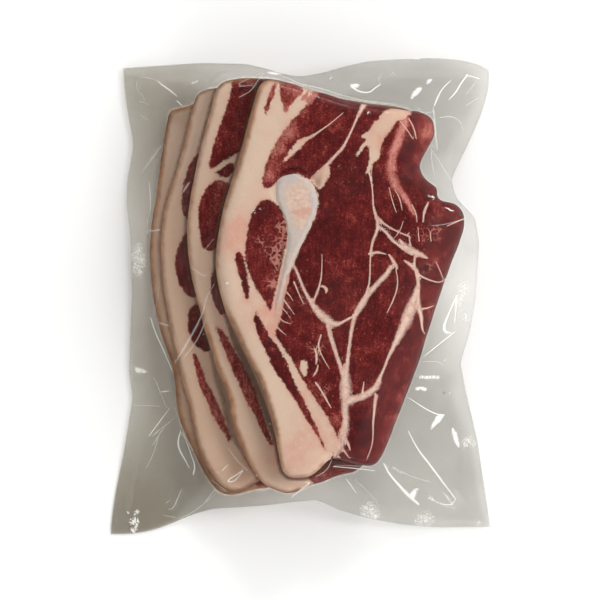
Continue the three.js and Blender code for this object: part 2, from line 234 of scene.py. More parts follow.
# Muscles that are darker or brighter than the rest: x, y, radius and change of tone.
TONE_SPOTS = [
    (340, 205, 26, -.16), (330, 290, 14, -.12), (310, 287, 9, -.18), (368, 120, 9, -.16),
    (408, 150, 8, -.25), (408, 182, 10, -.22), (428, 194, 8, -.2), (427, 132, 9, .85),
    (424, 118, 5, .3), (417, 156, 6, .5), (405, 122, 7, .1), (450, 214, 9, .1),
    (436, 258, 6, .42), (412, 345, 14, -.14), (385, 440, 8, .32), (396, 420, 7, .3),
    (447, 232, 16, -.2), (428, 272, 12, -.22), (404, 402, 6, .25),
    (376, 456, 8, .2), (361, 430, 17, -.3), (334, 419, 8, .55), (322, 400, 7, .25),
    (312, 385, 7, .22), (298, 369, 4, .3), (288, 130, 10, .8), (277, 150, 10, .85),
    (268, 174, 9, .66), (336, 121, 8, .3), (395, 440, 6, .25), (301, 112, 7, .3),
    (323, 326, 5, .55), (352, 308, 7, .35),
    (315, 432, 12, .34), (300, 406, 10, .2), (262, 210, 10, -.35), (262, 284, 10, .16),
    (352, 218, 13, .2), (353, 262, 15, .16), (346, 290, 10, .1), (322, 228, 12, -.16),
    (316, 254, 10, -.12), (352, 180, 10, -.08), (300, 330, 16, .1), (366, 182, 12, -.1),
    (380, 243, 8, -.12), (431, 300, 10, .05),
    (455, 235, 10, .08), (320, 150, 16, .05), (275, 178, 5, .2), (345, 345, 8, .1),
]
# Where the fat is pinker: x, y, radius and strength.
PINK_SPOTS = [
    (241, 213, 12, .45), (238, 230, 13, .9), (231, 248, 11, .6), (255, 198, 12, .4),
    (380, 140, 10, .7), (366, 128, 8, .3), (404, 113, 10, .5),
    (413, 250, 10, .9), (304, 140, 8, .6), (322, 172, 9, .5), (302, 452, 26, .7),
    (268, 310, 9, .6), (250, 300, 12, .4), (300, 180, 14, .5), (300, 398, 12, .3),
    (340, 440, 12, .3),
    (290, 285, 14, 1.3), (283, 310, 10, 1.3), (276, 330, 10, 1.2),
    (244, 330, 18, .2), (320, 322, 6, .7), (286, 470, 12, .5),
    (385, 112, 14, .3), (452, 190, 20, -.2),
]
# Where threads of fat show most in the lean: x, y, radius and strength.
MARBLED_SPOTS = [
    (284, 226, 8, .9), (285, 245, 8, 1.0), (280, 262, 8, 1.0), (275, 284, 7, .8),
    (272, 252, 8, .5), (262, 240, 10, .35), (316, 348, 12, .45), (322, 392, 12, .35),
    (430, 230, 16, .35), (425, 268, 9, .4), (300, 300, 10, .3), (436, 315, 8, .5),
    (400, 410, 10, .35), (408, 140, 10, .3),
]

# ---- What shows of the lower chops, in the photograph's pixels ----------------------
LOWER_PATCHES = {
    "chop_1": [
        (.8, [(254, 476), (258, 490), (270, 496), (284, 494), (300, 488), (300, 468)]),
    ],
    "chop_2": [
        (.55, [(193, 158), (186, 172), (183, 185), (181, 200), (182, 210), (185, 219),
               (191, 222), (197, 200), (200, 180), (204, 160), (199, 152)]),
        (.5, [(184, 235), (178, 246), (174, 262), (176, 276), (181, 288), (191, 299),
              (199, 297), (200, 270), (198, 240), (192, 228)]),
        (.4, [(191, 305), (188, 315), (187, 328), (191, 340), (199, 350), (210, 354),
              (215, 340), (211, 320), (203, 303)]),
        (.9, [(191, 349), (193, 360), (196, 372), (200, 388), (206, 400), (214, 418),
              (222, 432), (230, 443), (232, 440), (227, 427), (222, 412), (213, 394),
              (205, 377), (198, 357)]),
    ],
    "chop_3": [
        (.62, [(232, 78), (231, 90), (227, 105), (223, 115), (220, 125), (216, 135),
               (213, 145), (210, 155), (209, 164), (211, 170), (218, 165), (228, 159),
               (244, 150), (258, 110), (268, 80), (250, 74)]),
        (.5, [(215, 172), (221, 168), (233, 160), (236, 172), (227, 179), (219, 176)]),
        (.62, [(213, 180), (205, 190), (200, 200), (198, 210), (198, 222), (200, 235),
               (202, 245), (206, 253), (217, 250), (224, 230), (230, 205), (234, 186),
               (225, 181)]),
        (.5, [(214, 268), (210, 279), (210, 290), (212, 300), (215, 308), (221, 316),
              (228, 314), (228, 290), (224, 266)]),
        (.85, [(214, 325), (220, 340), (226, 352), (230, 365), (237, 380), (243, 395),
               (250, 408), (257, 420), (263, 435), (271, 447), (274, 444), (269, 430),
               (263, 415), (259, 400), (253, 385), (248, 375), (241, 362), (233, 347),
               (223, 331)]),
        (.7, [(304, 472), (312, 484), (322, 486), (334, 480), (350, 476), (366, 474),
              (384, 470), (384, 440), (320, 436)]),
    ],
}
LOWER_FACE = {"chop_1": 14.0, "chop_2": 28.8, "chop_3": 43.5}
# Where the painted shade beside the chop above is wider: x, y, radius and millimetres.
GAP_SHADE_SPOTS = {
    "chop_1": [(196, 440, 20, .6)],
    "chop_2": [(216, 380, 16, 1.8), (222, 408, 16, 2.2), (228, 436, 14, 1.8)],
    "chop_3": [(258, 100, 30, .6), (236, 345, 16, 2.0), (246, 372, 18, 2.6),
               (256, 398, 18, 2.4), (265, 424, 14, 1.8)],
}
# How dark the painted shade beside the chop above is, on each lower chop.
GAP_SHADE_STRENGTH = {"chop_1": .55, "chop_2": .7, "chop_3": .95}
# A lower chop is another slice of the same joint, so its hidden middle has the top chop's
# pattern, moved by this much in millimetres.
SLICE_SHIFT = {"chop_1": (-27, -2), "chop_2": (-18, 1), "chop_3": (-8, 3)}
# Lower chops are tanner, by the first share at their top end and the second further down.
TAN_SHARES = {"chop_1": (0, .6), "chop_2": (0, .4), "chop_3": (.1, .25), "chop_4": (0, 0)}
RIND_WIDTH = {"chop_1": 1.8, "chop_2": 1.3, "chop_3": 1.3, "chop_4": 1.0}  # millimetres
CHOP_NAMES = ("chop_1", "chop_2", "chop_3", "chop_4")
MEAT_PREFIX = "pork_"

# ---- The film, in the photograph's pixels -------------------------------------------
FILM_FACE = 10.0  # millimetres above the floor, about where its creases and glints lie

# Folds that stand up from the sheet: the line, the height in millimetres and the half width.
FOLDS = [
    ([(346, 87), (352, 91), (360, 95), (369, 95), (378, 86)], 1.3, 4.0),
    ([(430, 80), (424, 86), (414, 96), (408, 103)], 1.5, 5.0),
    ([(433, 108), (441, 92), (450, 80)], 1.0, 3.0),
    ([(445, 103), (455, 93), (467, 75)], 1.0, 3.0),
    ([(158, 82), (167, 89), (177, 97)], .9, 3.0),
    ([(188, 87), (194, 83), (202, 80)], .9, 3.5),
    ([(132, 368), (140, 369), (152, 372)], .9, 4.5),
    ([(152, 159), (161, 147)], .7, 3.5),
    ([(181, 430), (177, 441), (180, 451), (189, 468)], 1.1, 3.0),
    ([(183, 432), (190, 452), (195, 465), (193, 474)], .9, 3.0),
    ([(182, 489), (178, 497), (173, 508)], .7, 3.0),
    ([(216, 487), (207, 499), (200, 507), (187, 516)], .9, 3.0),
    ([(407, 429), (417, 448), (429, 464), (442, 481), (456, 499)], 1.4, 3.5),
    ([(383, 462), (388, 472), (397, 483), (409, 496), (418, 503)], 1.4, 4.0),
    ([(455, 296), (446, 317), (442, 327), (446, 333)], 1.1, 3.5),
    ([(423, 355), (437, 344), (453, 332)], .7, 3.0),
    ([(408, 397), (423, 407), (440, 414), (430, 430)], .9, 3.5),
    ([(452, 427), (456, 438), (460, 448)], .9, 4.0),
    ([(415, 377), (440, 376)], .6, 4.0),
    ([(411, 389), (430, 388)], .6, 4.0),
    ([(430, 148), (441, 167), (453, 187), (464, 208)], .7, 3.0),
    ([(446, 356), (447, 376), (446, 402)], -.7, 5.0),
]
# Creases that carry a painted highlight as a white line: x, y and width along each.
HIGHLIGHT_CREASES = [
    [(158, 81.5, .6), (162, 85, 2.2), (168, 89, 2), (177, 96.5, .8)],
    [(177, 101, .8), (180, 104, 1.8), (183, 107, .6)],
    [(149, 182, .5), (150.3, 193, 1.3), (150.5, 209, .6)],
    [(150.6, 318, 1.4), (155.5, 333, 1.5), (164, 351, 1.4), (172.5, 371, .8)],
    [(161, 392, 1), (165, 391.6, 1.8), (169, 391, .6)],
    [(169.5, 408.4, .5), (160, 421, 1.4), (148.5, 436.5, 1)],
    [(181, 430.5, 1), (177.4, 442, 2.4), (180, 451.4, 2.4), (185.6, 460.6, 1.8),
     (189.2, 468, .8)],
    [(182.6, 432, .6), (186.6, 441, 1), (191.7, 455.5, 1.1), (195.3, 465.7, 1.8),
     (193.3, 474, 2.2)],
    [(352, 89, 2.6), (358.6, 94, 2.2), (368.8, 95, 1.8), (374, 90, 1.6), (379.7, 86, 1.2)],
    [(439.6, 93, 1.8), (436, 100, 2.2), (433, 107.5, 1.4)],
    [(450.4, 81.4, .8), (444, 87, 1.4), (439.6, 93, 1.8)],
    [(467.2, 75.3, 2), (461, 83, 2), (455, 93.7, 1.8), (447.5, 101.3, .7)],
    [(467, 75, 1.6), (473, 77, .9), (478, 78.4, 1.8)],
    [(407, 429.5, 1), (416.5, 448, 2.2), (429.3, 464, 2.6), (442, 481.3, 2.4),
     (455.6, 499, 1.6)],
    [(455.6, 499, 1.4), (451.6, 505, 1.4), (444.4, 504.4, 1.8)],
    [(383, 462, 1.2), (388, 472, 2), (397.4, 483, 3), (408.6, 495.7, 5), (418, 503.6, 3)],
    [(455.6, 295.6, 1.6), (450, 307.5, 1.4), (446, 317, 2), (442, 326.7, 4), (444.4, 332, 4),
     (449.2, 332.3, 1)],
    [(456, 299.6, 1.6), (454.5, 312, 1.6), (453.6, 322, .6)],
    [(423, 355.4, .6), (437.3, 344.2, 1.1), (453.2, 332.3, 1.2)],
    [(407.8, 396.8, .6), (423, 407.2, 1.3), (435.7, 413.6, 1.5), (443.6, 414.4, 1)],
    [(443.5, 209.2, .8), (446.5, 210, 1.8), (448, 212, 1.8), (451, 212, 1)],
    [(345.7, 477, .6), (350, 483, 1.1), (355.3, 491, .8)],
    [(228, 464, .9), (222.9, 469.3, 1.1)],
    [(243, 469, .9), (236.6, 474, 1.4), (229, 478, 1.4), (228.5, 481, 1.3), (234.6, 480, 1),
     (238.7, 476, 1.3), (242.8, 470, .8)],
    [(333.3, 464.4, 1), (351.4, 465.9, 1.2), (364.8, 467.3, 1.2), (373.4, 468.8, 1)],
    [(306.5, 479.8, 1), (311, 480, 1.2), (300, 488.4, 1), (292, 495, .8)],
]
# Fainter painted highlights along creases, and where the film is doubled.
FAINT_HIGHLIGHT_CREASES = [
    [(139.4, 76.6, .8), (149.6, 78, 1.4), (156, 80, 1)],
    [(137, 81, 1), (136.3, 89.3, 1.2), (142, 94.4, 1.4), (144.5, 99.5, 1)],
    [(139.4, 100.8, 1), (148.4, 104.6, 1.6)],
    [(139.4, 114.8, .6), (143.5, 117, 1.6), (147.7, 119.3, .8)],
    [(161, 146.7, 2), (152, 158.2, 3.5), (142, 172.2, 2)],
    [(150.5, 209, 1), (147.5, 222, 1), (147, 236, 1)],
    [(148, 231, 2), (154, 231, 3), (160, 230, 2)],
    [(184, 193, 2), (187, 188, 4), (190.5, 183.7, 2)],
    [(152.7, 378, 1), (155.5, 380, 1.6), (160.4, 393, 1.6), (166.7, 408, 1)],
    [(132.4, 405.6, 1), (158.3, 406.3, 1.2)],
    [(173.8, 419, .8), (161, 428, 1.4), (152, 436.4, 1.4)],
    [(168, 424, .8), (158.3, 435, 1.2), (152, 446, 1)],
    [(174.5, 408.4, 1), (183.6, 430.8, 1.2), (193.4, 450.5, 1)],
    [(192, 268, 1), (206, 277.2, 1.4), (208.1, 275, 1)],
    [(214.4, 240, .8), (203.2, 254, .9)],
    [(215, 285, 1), (208, 296, 1.6), (204, 312, 2)],
    [(204, 312, 2), (198, 325, 3), (186, 346, 3.4), (175, 363.5, 1)],
    [(207, 318, 1), (203, 330, 2), (194, 346, 2), (184, 358, 1)],
    [(175.2, 335, .8), (178, 349, 1.2)],
    [(159, 322.8, 2), (164, 324, 3), (169.5, 325.6, 1.6)],
    [(153.4, 318.6, .8), (157.6, 299, 1), (160.4, 282, .8)],
    [(160, 434, .8), (155, 447.3, 1.2), (151, 459.6, 1), (145.8, 468.8, 1)],
    [(181.5, 489.2, 1.4), (178.5, 496.3, 2), (173.4, 508.6, 1.6), (168.3, 510, 1)],
    [(170.3, 500.4, 1), (165.7, 503.5, 1)],
    [(164.2, 516.2, .8), (174.4, 518, 1.4)],
    [(215.2, 488.2, 1.2), (207, 499.4, 1.8), (203, 505.5, 1.4), (186.6, 516.2, 1.4),
     (178.5, 518.8, .8)],
    [(216.2, 493.3, .8), (207, 501.4, 1.2), (194.8, 510.6, 1)],
    [(229, 448, .8), (237.7, 459.6, 1.2), (248, 468.8, 1)],
    [(213.2, 480, .8), (226.4, 489.7, 1.2)],
    [(284, 79, 1.6), (301, 87.4, 1.6), (319, 90.6, 1.8), (342, 98.3, 1.8), (365, 104, 1.4),
     (393, 106.6, 1)],
    [(240, 99.5, 1.6), (252.8, 93.2, 1.6), (258, 84.2, 1.4), (264.2, 76.6, 1.6)],
    [(240, 88.7, 1.6), (252.8, 88, 1.4)],
    [(240, 85.5, 1), (254, 79, 1.4), (263, 74, 1)],
    [(379.7, 86, .8), (378.4, 79, 1.2), (381.6, 74, .8)],
    [(417.3, 111, .8), (421, 116, 1.4), (426, 114.8, 1.2), (431.3, 114.2, .8)],
    [(475, 83, .8), (465.7, 95, 1)],
    [(478, 98.3, .8), (465.7, 106, 1)],
    [(438.2, 119.7, 1), (448.9, 117.4, 1.6), (459.6, 121.2, 1.6), (462.7, 130.4, 1)],
    [(432, 110, 2), (433, 130, 3), (436, 150, 2)],
    [(430.5, 145.7, .8), (429, 155, 1.1), (432.8, 176.3, .8)],
    [(430.5, 151.8, .9), (441.2, 167, 1.2), (453.5, 187, 1.2), (463.4, 207, 1)],
    [(465.7, 218.4, .8), (442.8, 226, 1.1), (429, 226.8, .7)],
    [(422, 361, .7), (435.7, 360.2, 1.2), (441.2, 364, .8)],
    [(392.6, 465.4, .8), (410.2, 475.8, 1.4), (429.3, 481.3, 1.2)],
    [(354.4, 478.1, .8), (366, 489, 1.4), (377.3, 500.8, 1)],
    [(334.2, 463, .8), (355.3, 463.5, 1), (366.7, 464.4, 1), (371.5, 466.8, .8)],
    [(391.6, 466.4, .8), (400, 472, 1)],
    [(331.3, 457.8, .8), (326.6, 468.3, 1.2), (316, 474, .8)],
    [(384, 462, 1), (388, 467, 2), (385, 471, 1)],
]
# Painted highlights: patches where slack film lies doubled and crumpled.
GLEAMS = [
    [(348, 86.5), (352, 85), (358, 85), (360, 87.5), (356, 90.5), (350, 90)],
    [(408.5, 101), (410, 96), (416, 89), (422, 87), (421, 92), (415, 98), (411, 102)],
    [(425, 84.5), (427, 80.5), (432, 79), (431, 82.5), (427.5, 85.5)],
    [(191, 85.5), (191.5, 82.5), (200, 80.5), (197, 84)],
    [(134, 366), (139, 368), (150, 372), (144, 374.5), (134.5, 373)],
    [(436, 413.5), (444.5, 413.5), (442, 419), (434, 425.5), (427.7, 431), (431.7, 421)],
    [(451.6, 426.3), (454.8, 428.7), (458, 438.3), (460.4, 448.6), (456.4, 445.5),
     (452.4, 438.3), (450.8, 430.3)],
    [(410, 491), (419.7, 485.3), (415, 494), (415, 502), (408.6, 497.3)],
    [(410, 389.5), (419, 384), (429.5, 389.5)],
    [(266, 75), (270, 73.4), (284, 75.5), (280, 78), (272, 78)],
    [(416, 374.5), (440, 375), (439, 378.5), (417, 378)],
]
# Painted glints in specks, on the embossed film of the flange and small ones over the meat: x, y,
# radius and strength.
GLITTER = [
    (138, 250, 7, 1.3), (138, 262, 8, 1.7), (138, 273, 6, 1.0), (134, 522, 5, 2.0),
    (136, 512, 3, 1.7), (133, 531, 4, 1.3),
    (369, 510, 12, 1.0), (374, 516, 7, .7), (426, 519, 11, .9), (418, 522, 5, .5),
    (468, 442, 10, .8), (459, 300, 10, .7), (463, 285, 9, .7), (127, 513, 2, 1.1),
    (465, 318, 9, .6), (466, 390, 8, .4), (392, 74, 8, .5), (155, 75, 10, .3),
    (246.6, 181.4, 1.6, 1.3), (220.3, 261.6, 1.3, 1.2), (228.2, 283.5, 1.6, 1.0),
    (201, 99, 1.2, 1.2), (159.6, 230.2, 1.3, 1.2), (182.3, 380, 1.2, 1.2),
    (179.5, 401.5, 1.2, 1.1), (256.5, 473.4, 1.3, 1.3), (207.2, 445, 1.2, 1.1),
    (219, 471.4, 1.2, 1.2), (270.3, 422, 1.3, 1.2), (264.5, 386.8, 1.3, 1.2),
    (290.2, 487, 1.3, 1.2), (300.2, 480.6, 1.2, 1.2), (230.5, 422.4, 1.2, 1.0),
    (204.5, 333, 1.2, 1.0), (255, 213.5, 2.2, 1.0), (261, 211, 1.8, .8),
    (338.7, 167.9, 2.6, .55), (430.6, 199, 2.6, 1.0), (426, 197.5, 1.6, .9),
    (367.6, 115.8, 1.6, 1.4), (331, 79, 1.6, 1.4), (378.4, 79, 1.3, 1.2), (255, 478, 2, .8),
]
# How far the flange's film is from clear, and where it differs: x, y, radius and change.
FLANGE_TONE = .63
FLANGE_TONES = [
    (130, 520, 80, .25), (140, 400, 70, -.16), (140, 230, 90, -.36), (200, 520, 60, .05),
    (150, 72, 50, .08), (464, 290, 80, -.47), (470, 140, 50, -.08), (440, 490, 80, -.2),
    (480, 72, 40, -.16), (395, 62, 26, -.14), (446, 378, 9, .2), (450, 145, 14, .12),
    (320, 512, 40, -.2), (470, 420, 40, .04), (478, 470, 20, .12), (395, 90, 20, .06),
    (466, 200, 12, .14), (470, 250, 8, .1),
]

# ---- Small tools --------------------------------------------------------------------

def linear(hex_colour):
    """An sRGB hex colour as a linear RGBA value."""
    parts = [int(hex_colour[i:i + 2], 16) / 255 for i in (1, 3, 5)]
    line = [c / 12.92 if c <= 0.04045 else ((c + 0.055) / 1.055) ** 2.4 for c in parts]
    return (*line, 1.0)


def smooth_step(x, low, high):
    t = np.clip((x - low) / (high - low), 0, 1)
    return t * t * (3 - 2 * t)


def rounded(points, closed, rounds=2):
    """The line with its corners cut, twice by default."""
    points = np.asarray(points, float)
    for _ in range(rounds):
        ahead = np.roll(points, -1, axis=0) if closed else points[1:]
        here = points if closed else points[:-1]
        cut = np.empty((2 * len(here), points.shape[1]))
        cut[0::2] = here * .75 + ahead * .25
        cut[1::2] = here * .25 + ahead * .75
        points = cut if closed else np.vstack([points[:1], cut, points[-1:]])
    return points


def depth_inside(places, outline):
    """Distance of each place to a closed outline, positive inside it."""
    x, y = places[:, 0], places[:, 1]
    nearest = np.full(len(places), np.inf)
    inside = np.zeros(len(places), bool)
    for (ax, ay), (bx, by) in zip(outline, np.roll(outline, -1, axis=0)):
        ex, ey = bx - ax, by - ay
        t = np.clip(((x - ax) * ex + (y - ay) * ey) / (ex * ex + ey * ey + 1e-12), 0, 1)
        nearest = np.minimum(nearest, (x - ax - ex * t) ** 2 + (y - ay - ey * t) ** 2)
        crossing = (ay > y) != (by > y)
        inside ^= crossing & (x < ax + ex * (y - ay) / (ey if ey else 1e-12))
    return np.where(inside, 1, -1) * np.sqrt(nearest)


def area_depth(places, outline, beyond=8.0):
    """depth_inside for a small area: places far from it get -beyond, unmeasured."""
    outline = rounded(outline, True)
    low, high = outline.min(0) - beyond, outline.max(0) + beyond
    near = ((places > low) & (places < high)).all(1)
    depth = np.full(len(places), -beyond)
    if near.any():
        depth[near] = np.maximum(-beyond, depth_inside(places[near], outline))
    return depth


HALFWAY_BAND = 1.8    # millimetres between two lines' edges that count as halfway
UNCUT_MARGIN = .25    # millimetres beside a line that are never cut


def line_field(places, lines, reach=2.0, cut_ends=True):
    """Where places lie across the nearest of some lines: 0 on it, 1 or -1 at its edges.
    The second result is 1 close to a line and 0 past its edge and `reach` more. It is 0 too
    where the first one changes its sign: halfway between lines, and past a line's ends."""
    across = np.full(len(places), 9.0)
    outside = np.full(len(places), reach)
    rival = np.full(len(places), np.inf)
    past_end = np.zeros(len(places), bool)
    for line in lines:
        line = rounded(line, False)
        low = line[:, :2].min(0) - reach - line[:, 2].max()
        high = line[:, :2].max(0) + reach + line[:, 2].max()
        chosen = np.nonzero(((places > low) & (places < high)).all(1))[0]
        x, y = places[chosen, 0], places[chosen, 1]
        own_across = np.full(len(chosen), 9.0)
        own_outside = np.full(len(chosen), reach)
        own_past_end = np.zeros(len(chosen), bool)
        for step, ((ax, ay, aw), (bx, by, bw)) in enumerate(zip(line[:-1], line[1:])):
            ex, ey = bx - ax, by - ay
            length = math.hypot(ex, ey) + 1e-9
            t = np.clip(((x - ax) * ex + (y - ay) * ey) / length ** 2, 0, 1)
            half = (aw + (bw - aw) * t) / 2
            dx, dy = x - ax - ex * t, y - ay - ey * t
            away = np.hypot(dx, dy)
            side = np.where(dy * ex - dx * ey >= 0, 1.0, -1.0)
            closer = away - half < own_outside
            own_outside = np.where(closer, away - half, own_outside)
            own_across = np.where(closer, np.clip(side * away / half, -9, 9), own_across)
            beyond = (t == 0) & (step == 0) | (t == 1) & (step == len(line) - 2)
            own_past_end = np.where(closer, beyond, own_past_end)
        closer = own_outside < outside[chosen]
        further = np.where(closer, outside[chosen], own_outside)
        opposite = own_across * across[chosen] < 0
        rival[chosen] = np.minimum(np.where(closer, np.inf, rival[chosen]),
                                   np.where(opposite, further, np.inf))
        outside[chosen] = np.where(closer, own_outside, outside[chosen])
        across[chosen] = np.where(closer, own_across, across[chosen])
        past_end[chosen] = np.where(closer, own_past_end, past_end[chosen])
    cut = (rival - outside < HALFWAY_BAND) | past_end & cut_ends
    cut &= outside > UNCUT_MARGIN
    return across, np.where(cut, 0, smooth_step(outside, reach * .8, reach * .3))


def on_line(across, near):
    """1 on a line of line_field, and 0 from half its half width past its edge."""
    return np.clip(1.5 - np.abs(across), 0, 1) * near


def soft_spots(places, spots, height):
    """The sum of round soft spots, each with its pixel, radius and strength."""
    total = np.zeros(len(places))
    for x, y, radius, strength in spots:
        (sx, sy, sr), = from_photo([(x, y, radius)], height)
        away = (places[:, 0] - sx) ** 2 + (places[:, 1] - sy) ** 2
        total += strength * np.exp(-away / sr ** 2)
    return total


LATTICE_CELLS = 64  # a side of the block of random values, which repeats


def lattice_noise(places, size, seed):
    """Smooth random values from -1 to 1 that change over `size` millimetres."""
    grid = np.random.default_rng(seed).uniform(-1, 1, (LATTICE_CELLS,) * 3)
    scaled = np.asarray(places, float) / size
    if scaled.shape[1] == 2:
        scaled = np.column_stack([scaled, np.zeros(len(scaled))])
    cell = np.floor(scaled).astype(int)
    t = scaled - cell
    t = t * t * (3 - 2 * t)
    total = np.zeros(len(scaled))
    for corner in range(8):
        step = np.array([corner & 1, corner >> 1 & 1, corner >> 2 & 1])
        weight = np.prod(np.where(step, t, 1 - t), axis=1)
        at = (cell + step) % LATTICE_CELLS
        total += weight * grid[at[:, 0], at[:, 1], at[:, 2]]
    return total


def places_of(obj):
    """The vertices of a piece, in millimetres."""
    flat = np.empty(len(obj.data.vertices) * 3, np.float32)
    obj.data.vertices.foreach_get("co", flat)
    return flat.reshape(-1, 3).astype(float) / MM


def place_all(obj, places):
    obj.data.vertices.foreach_set("co", (places * MM).astype(np.float32).ravel())
    obj.data.update()


def normals_of(obj):
    flat = np.empty(len(obj.data.vertices) * 3, np.float32)
    obj.data.vertices.foreach_get("normal", flat)
    return flat.reshape(-1, 3).astype(float)


def keep_attribute(obj, name, values):
    layer = obj.data.attributes.new(name, "FLOAT", "POINT")
    layer.data.foreach_set("value", np.asarray(values, np.float32))


def select_only(obj):
    bpy.ops.object.select_all(action="DESELECT")
    obj.select_set(True)
    bpy.context.view_layer.objects.active = obj


def apply_modifier(obj, kind, **settings):
    select_only(obj)
    modifier = obj.modifiers.new(kind.title(), kind)
    for name, value in settings.items():
        setattr(modifier, name, value)
    bpy.ops.object.modifier_apply(modifier=modifier.name)


def copy_of_node(node, name):
    """A merged copy of a CAD node's mesh, ready to be shaped."""
    obj = bpy.data.objects.new(name, frame["nodes"][node].data.copy())
    bpy.context.scene.collection.objects.link(obj)
    obj.data.materials.clear()
    select_only(obj)
    bpy.ops.object.mode_set(mode="EDIT")
    bpy.ops.mesh.select_all(action="SELECT")
    bpy.ops.mesh.remove_doubles(threshold=0.01 * MM)
    bpy.ops.object.mode_set(mode="OBJECT")
    return obj


def finish_piece(obj, nodes, material):
    obj.data.materials.append(material)
    select_only(obj)
    bpy.ops.object.shade_smooth()
    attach(obj, "root")
    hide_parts(*nodes)


def outline_of(node, directions=720):
    """What a node's solid covers, seen from above, as a closed line in millimetres."""
    obj = frame["nodes"][node]
    places = places_of(obj)[:, :2]
    edges = np.empty(len(obj.data.edges) * 2, int)
    obj.data.edges.foreach_get("vertices", edges)
    start, end = places[edges[0::2]], places[edges[1::2]]
    centre = (places.min(0) + places.max(0)) / 2
    outline = []
    for turn in np.linspace(0, 2 * math.pi, directions, endpoint=False):
        d = np.array([math.cos(turn), math.sin(turn)])
        a = start - centre
        e = end - start
        bottom = d[0] * e[:, 1] - d[1] * e[:, 0]
        bottom = np.where(np.abs(bottom) < 1e-9, 1e-9, bottom)
        far = (a[:, 0] * e[:, 1] - a[:, 1] * e[:, 0]) / bottom
        share = (a[:, 0] * d[1] - a[:, 1] * d[0]) / bottom
        hit = (share >= -1e-6) & (share <= 1 + 1e-6) & (far > 0)
        outline.append(centre + d * far[hit].max())
    return np.array(outline)


# ---- Node trees ---------------------------------------------------------------------

def new_material(name):
    material = bpy.data.materials.new(name)
    material.use_nodes = True
    material.node_tree.nodes.clear()
    return material


def fill_socket(tree, socket, value):
    """Gives an input a value, or a link from an output."""
    if isinstance(value, bpy.types.NodeSocket):
        tree.links.new(value, socket)
    else:
        socket.default_value = value


def add_node(tree, kind, inputs=None, **settings):
    """Adds a node, sets its settings, then its sockets: a value, or a link as a socket."""
    node = tree.nodes.new(kind)
    for name, value in settings.items():
        setattr(node, name, value)
    for name, value in (inputs or {}).items():
        fill_socket(tree, node.inputs[name], value)
    return node


def attribute(tree, name):
    return add_node(tree, "ShaderNodeAttribute", attribute_name=name).outputs["Fac"]


def texture_value(tree, kind, inputs, output=0, **settings):
    return add_node(tree, kind, inputs, **settings).outputs[output]


def maths(tree, operation, a, b=0.0, c=0.0):
    return add_node(tree, "ShaderNodeMath", {0: a, 1: b, 2: c}, operation=operation).outputs[0]


def with_added(tree, value, *parts):
    """The value with parts added to it, each a value and its amount."""
    for part, amount in parts:
        value = maths(tree, "MULTIPLY_ADD", part, amount, value)
    return value


def remapped(tree, value, low, high, to_low=0.0, to_high=1.0):
    inputs = {"Value": value, "From Min": low, "From Max": high, "To Min": to_low,
              "To Max": to_high}
    return add_node(tree, "ShaderNodeMapRange", inputs, interpolation_type="SMOOTHSTEP",
                    clamp=True).outputs["Result"]


def blended(tree, factor, a, b):
    """Colour a where the factor is 0 and b where it is 1."""
    inputs = {0: factor, 6: a, 7: b}
    node = add_node(tree, "ShaderNodeMix", inputs, data_type="RGBA", clamp_factor=True)
    return node.outputs[2]


def colour_ramp(tree, value, stops):
    node = add_node(tree, "ShaderNodeValToRGB", {"Fac": value})
    elements = node.color_ramp.elements
    while len(elements) < len(stops):
        elements.new(0.5)
    for element, (position, colour) in zip(elements, stops):
        element.position = position
        element.color = linear(colour)
    return node.outputs["Color"]


def noise_maker(tree, coordinates):
    """A function that adds noise, about zero, to the tree."""
    def noise(size, detail=2.0, roughness=.5, vector=coordinates):
        """Noise whose blotches are `size` millimetres across."""
        inputs = {"Vector": vector, "Scale": 1000 / size, "Detail": detail,
                  "Roughness": roughness}
        value = texture_value(tree, "ShaderNodeTexNoise", inputs)
        return maths(tree, "SUBTRACT", value, .5)

    return noise


def along_line(tree, across, near, core, edge):
    """1 on a line that was kept by line_field, up to `core` half widths from its middle, and
    0 from `edge` half widths on."""
    return maths(tree, "MULTIPLY", remapped(tree, across, core, edge, 1.0, 0.0),
                 remapped(tree, attribute(tree, near), .25, .75))


# ---- Materials ----------------------------------------------------------------------

# Tone is kept from -0.5 to 2 and read off this ramp, from purple-dark to salmon.
TONE_RANGE = (-0.5, 2.0)
LEAN_TONES = [
    (-.35, "#311012"), (0.0, "#401416"), (.3, "#4e1819"), (.5, "#5a1c1c"), (.75, "#6d2624"),
    (1.0, "#873f39"), (1.3, "#9c5c53"), (1.8, "#c07f78"),
]


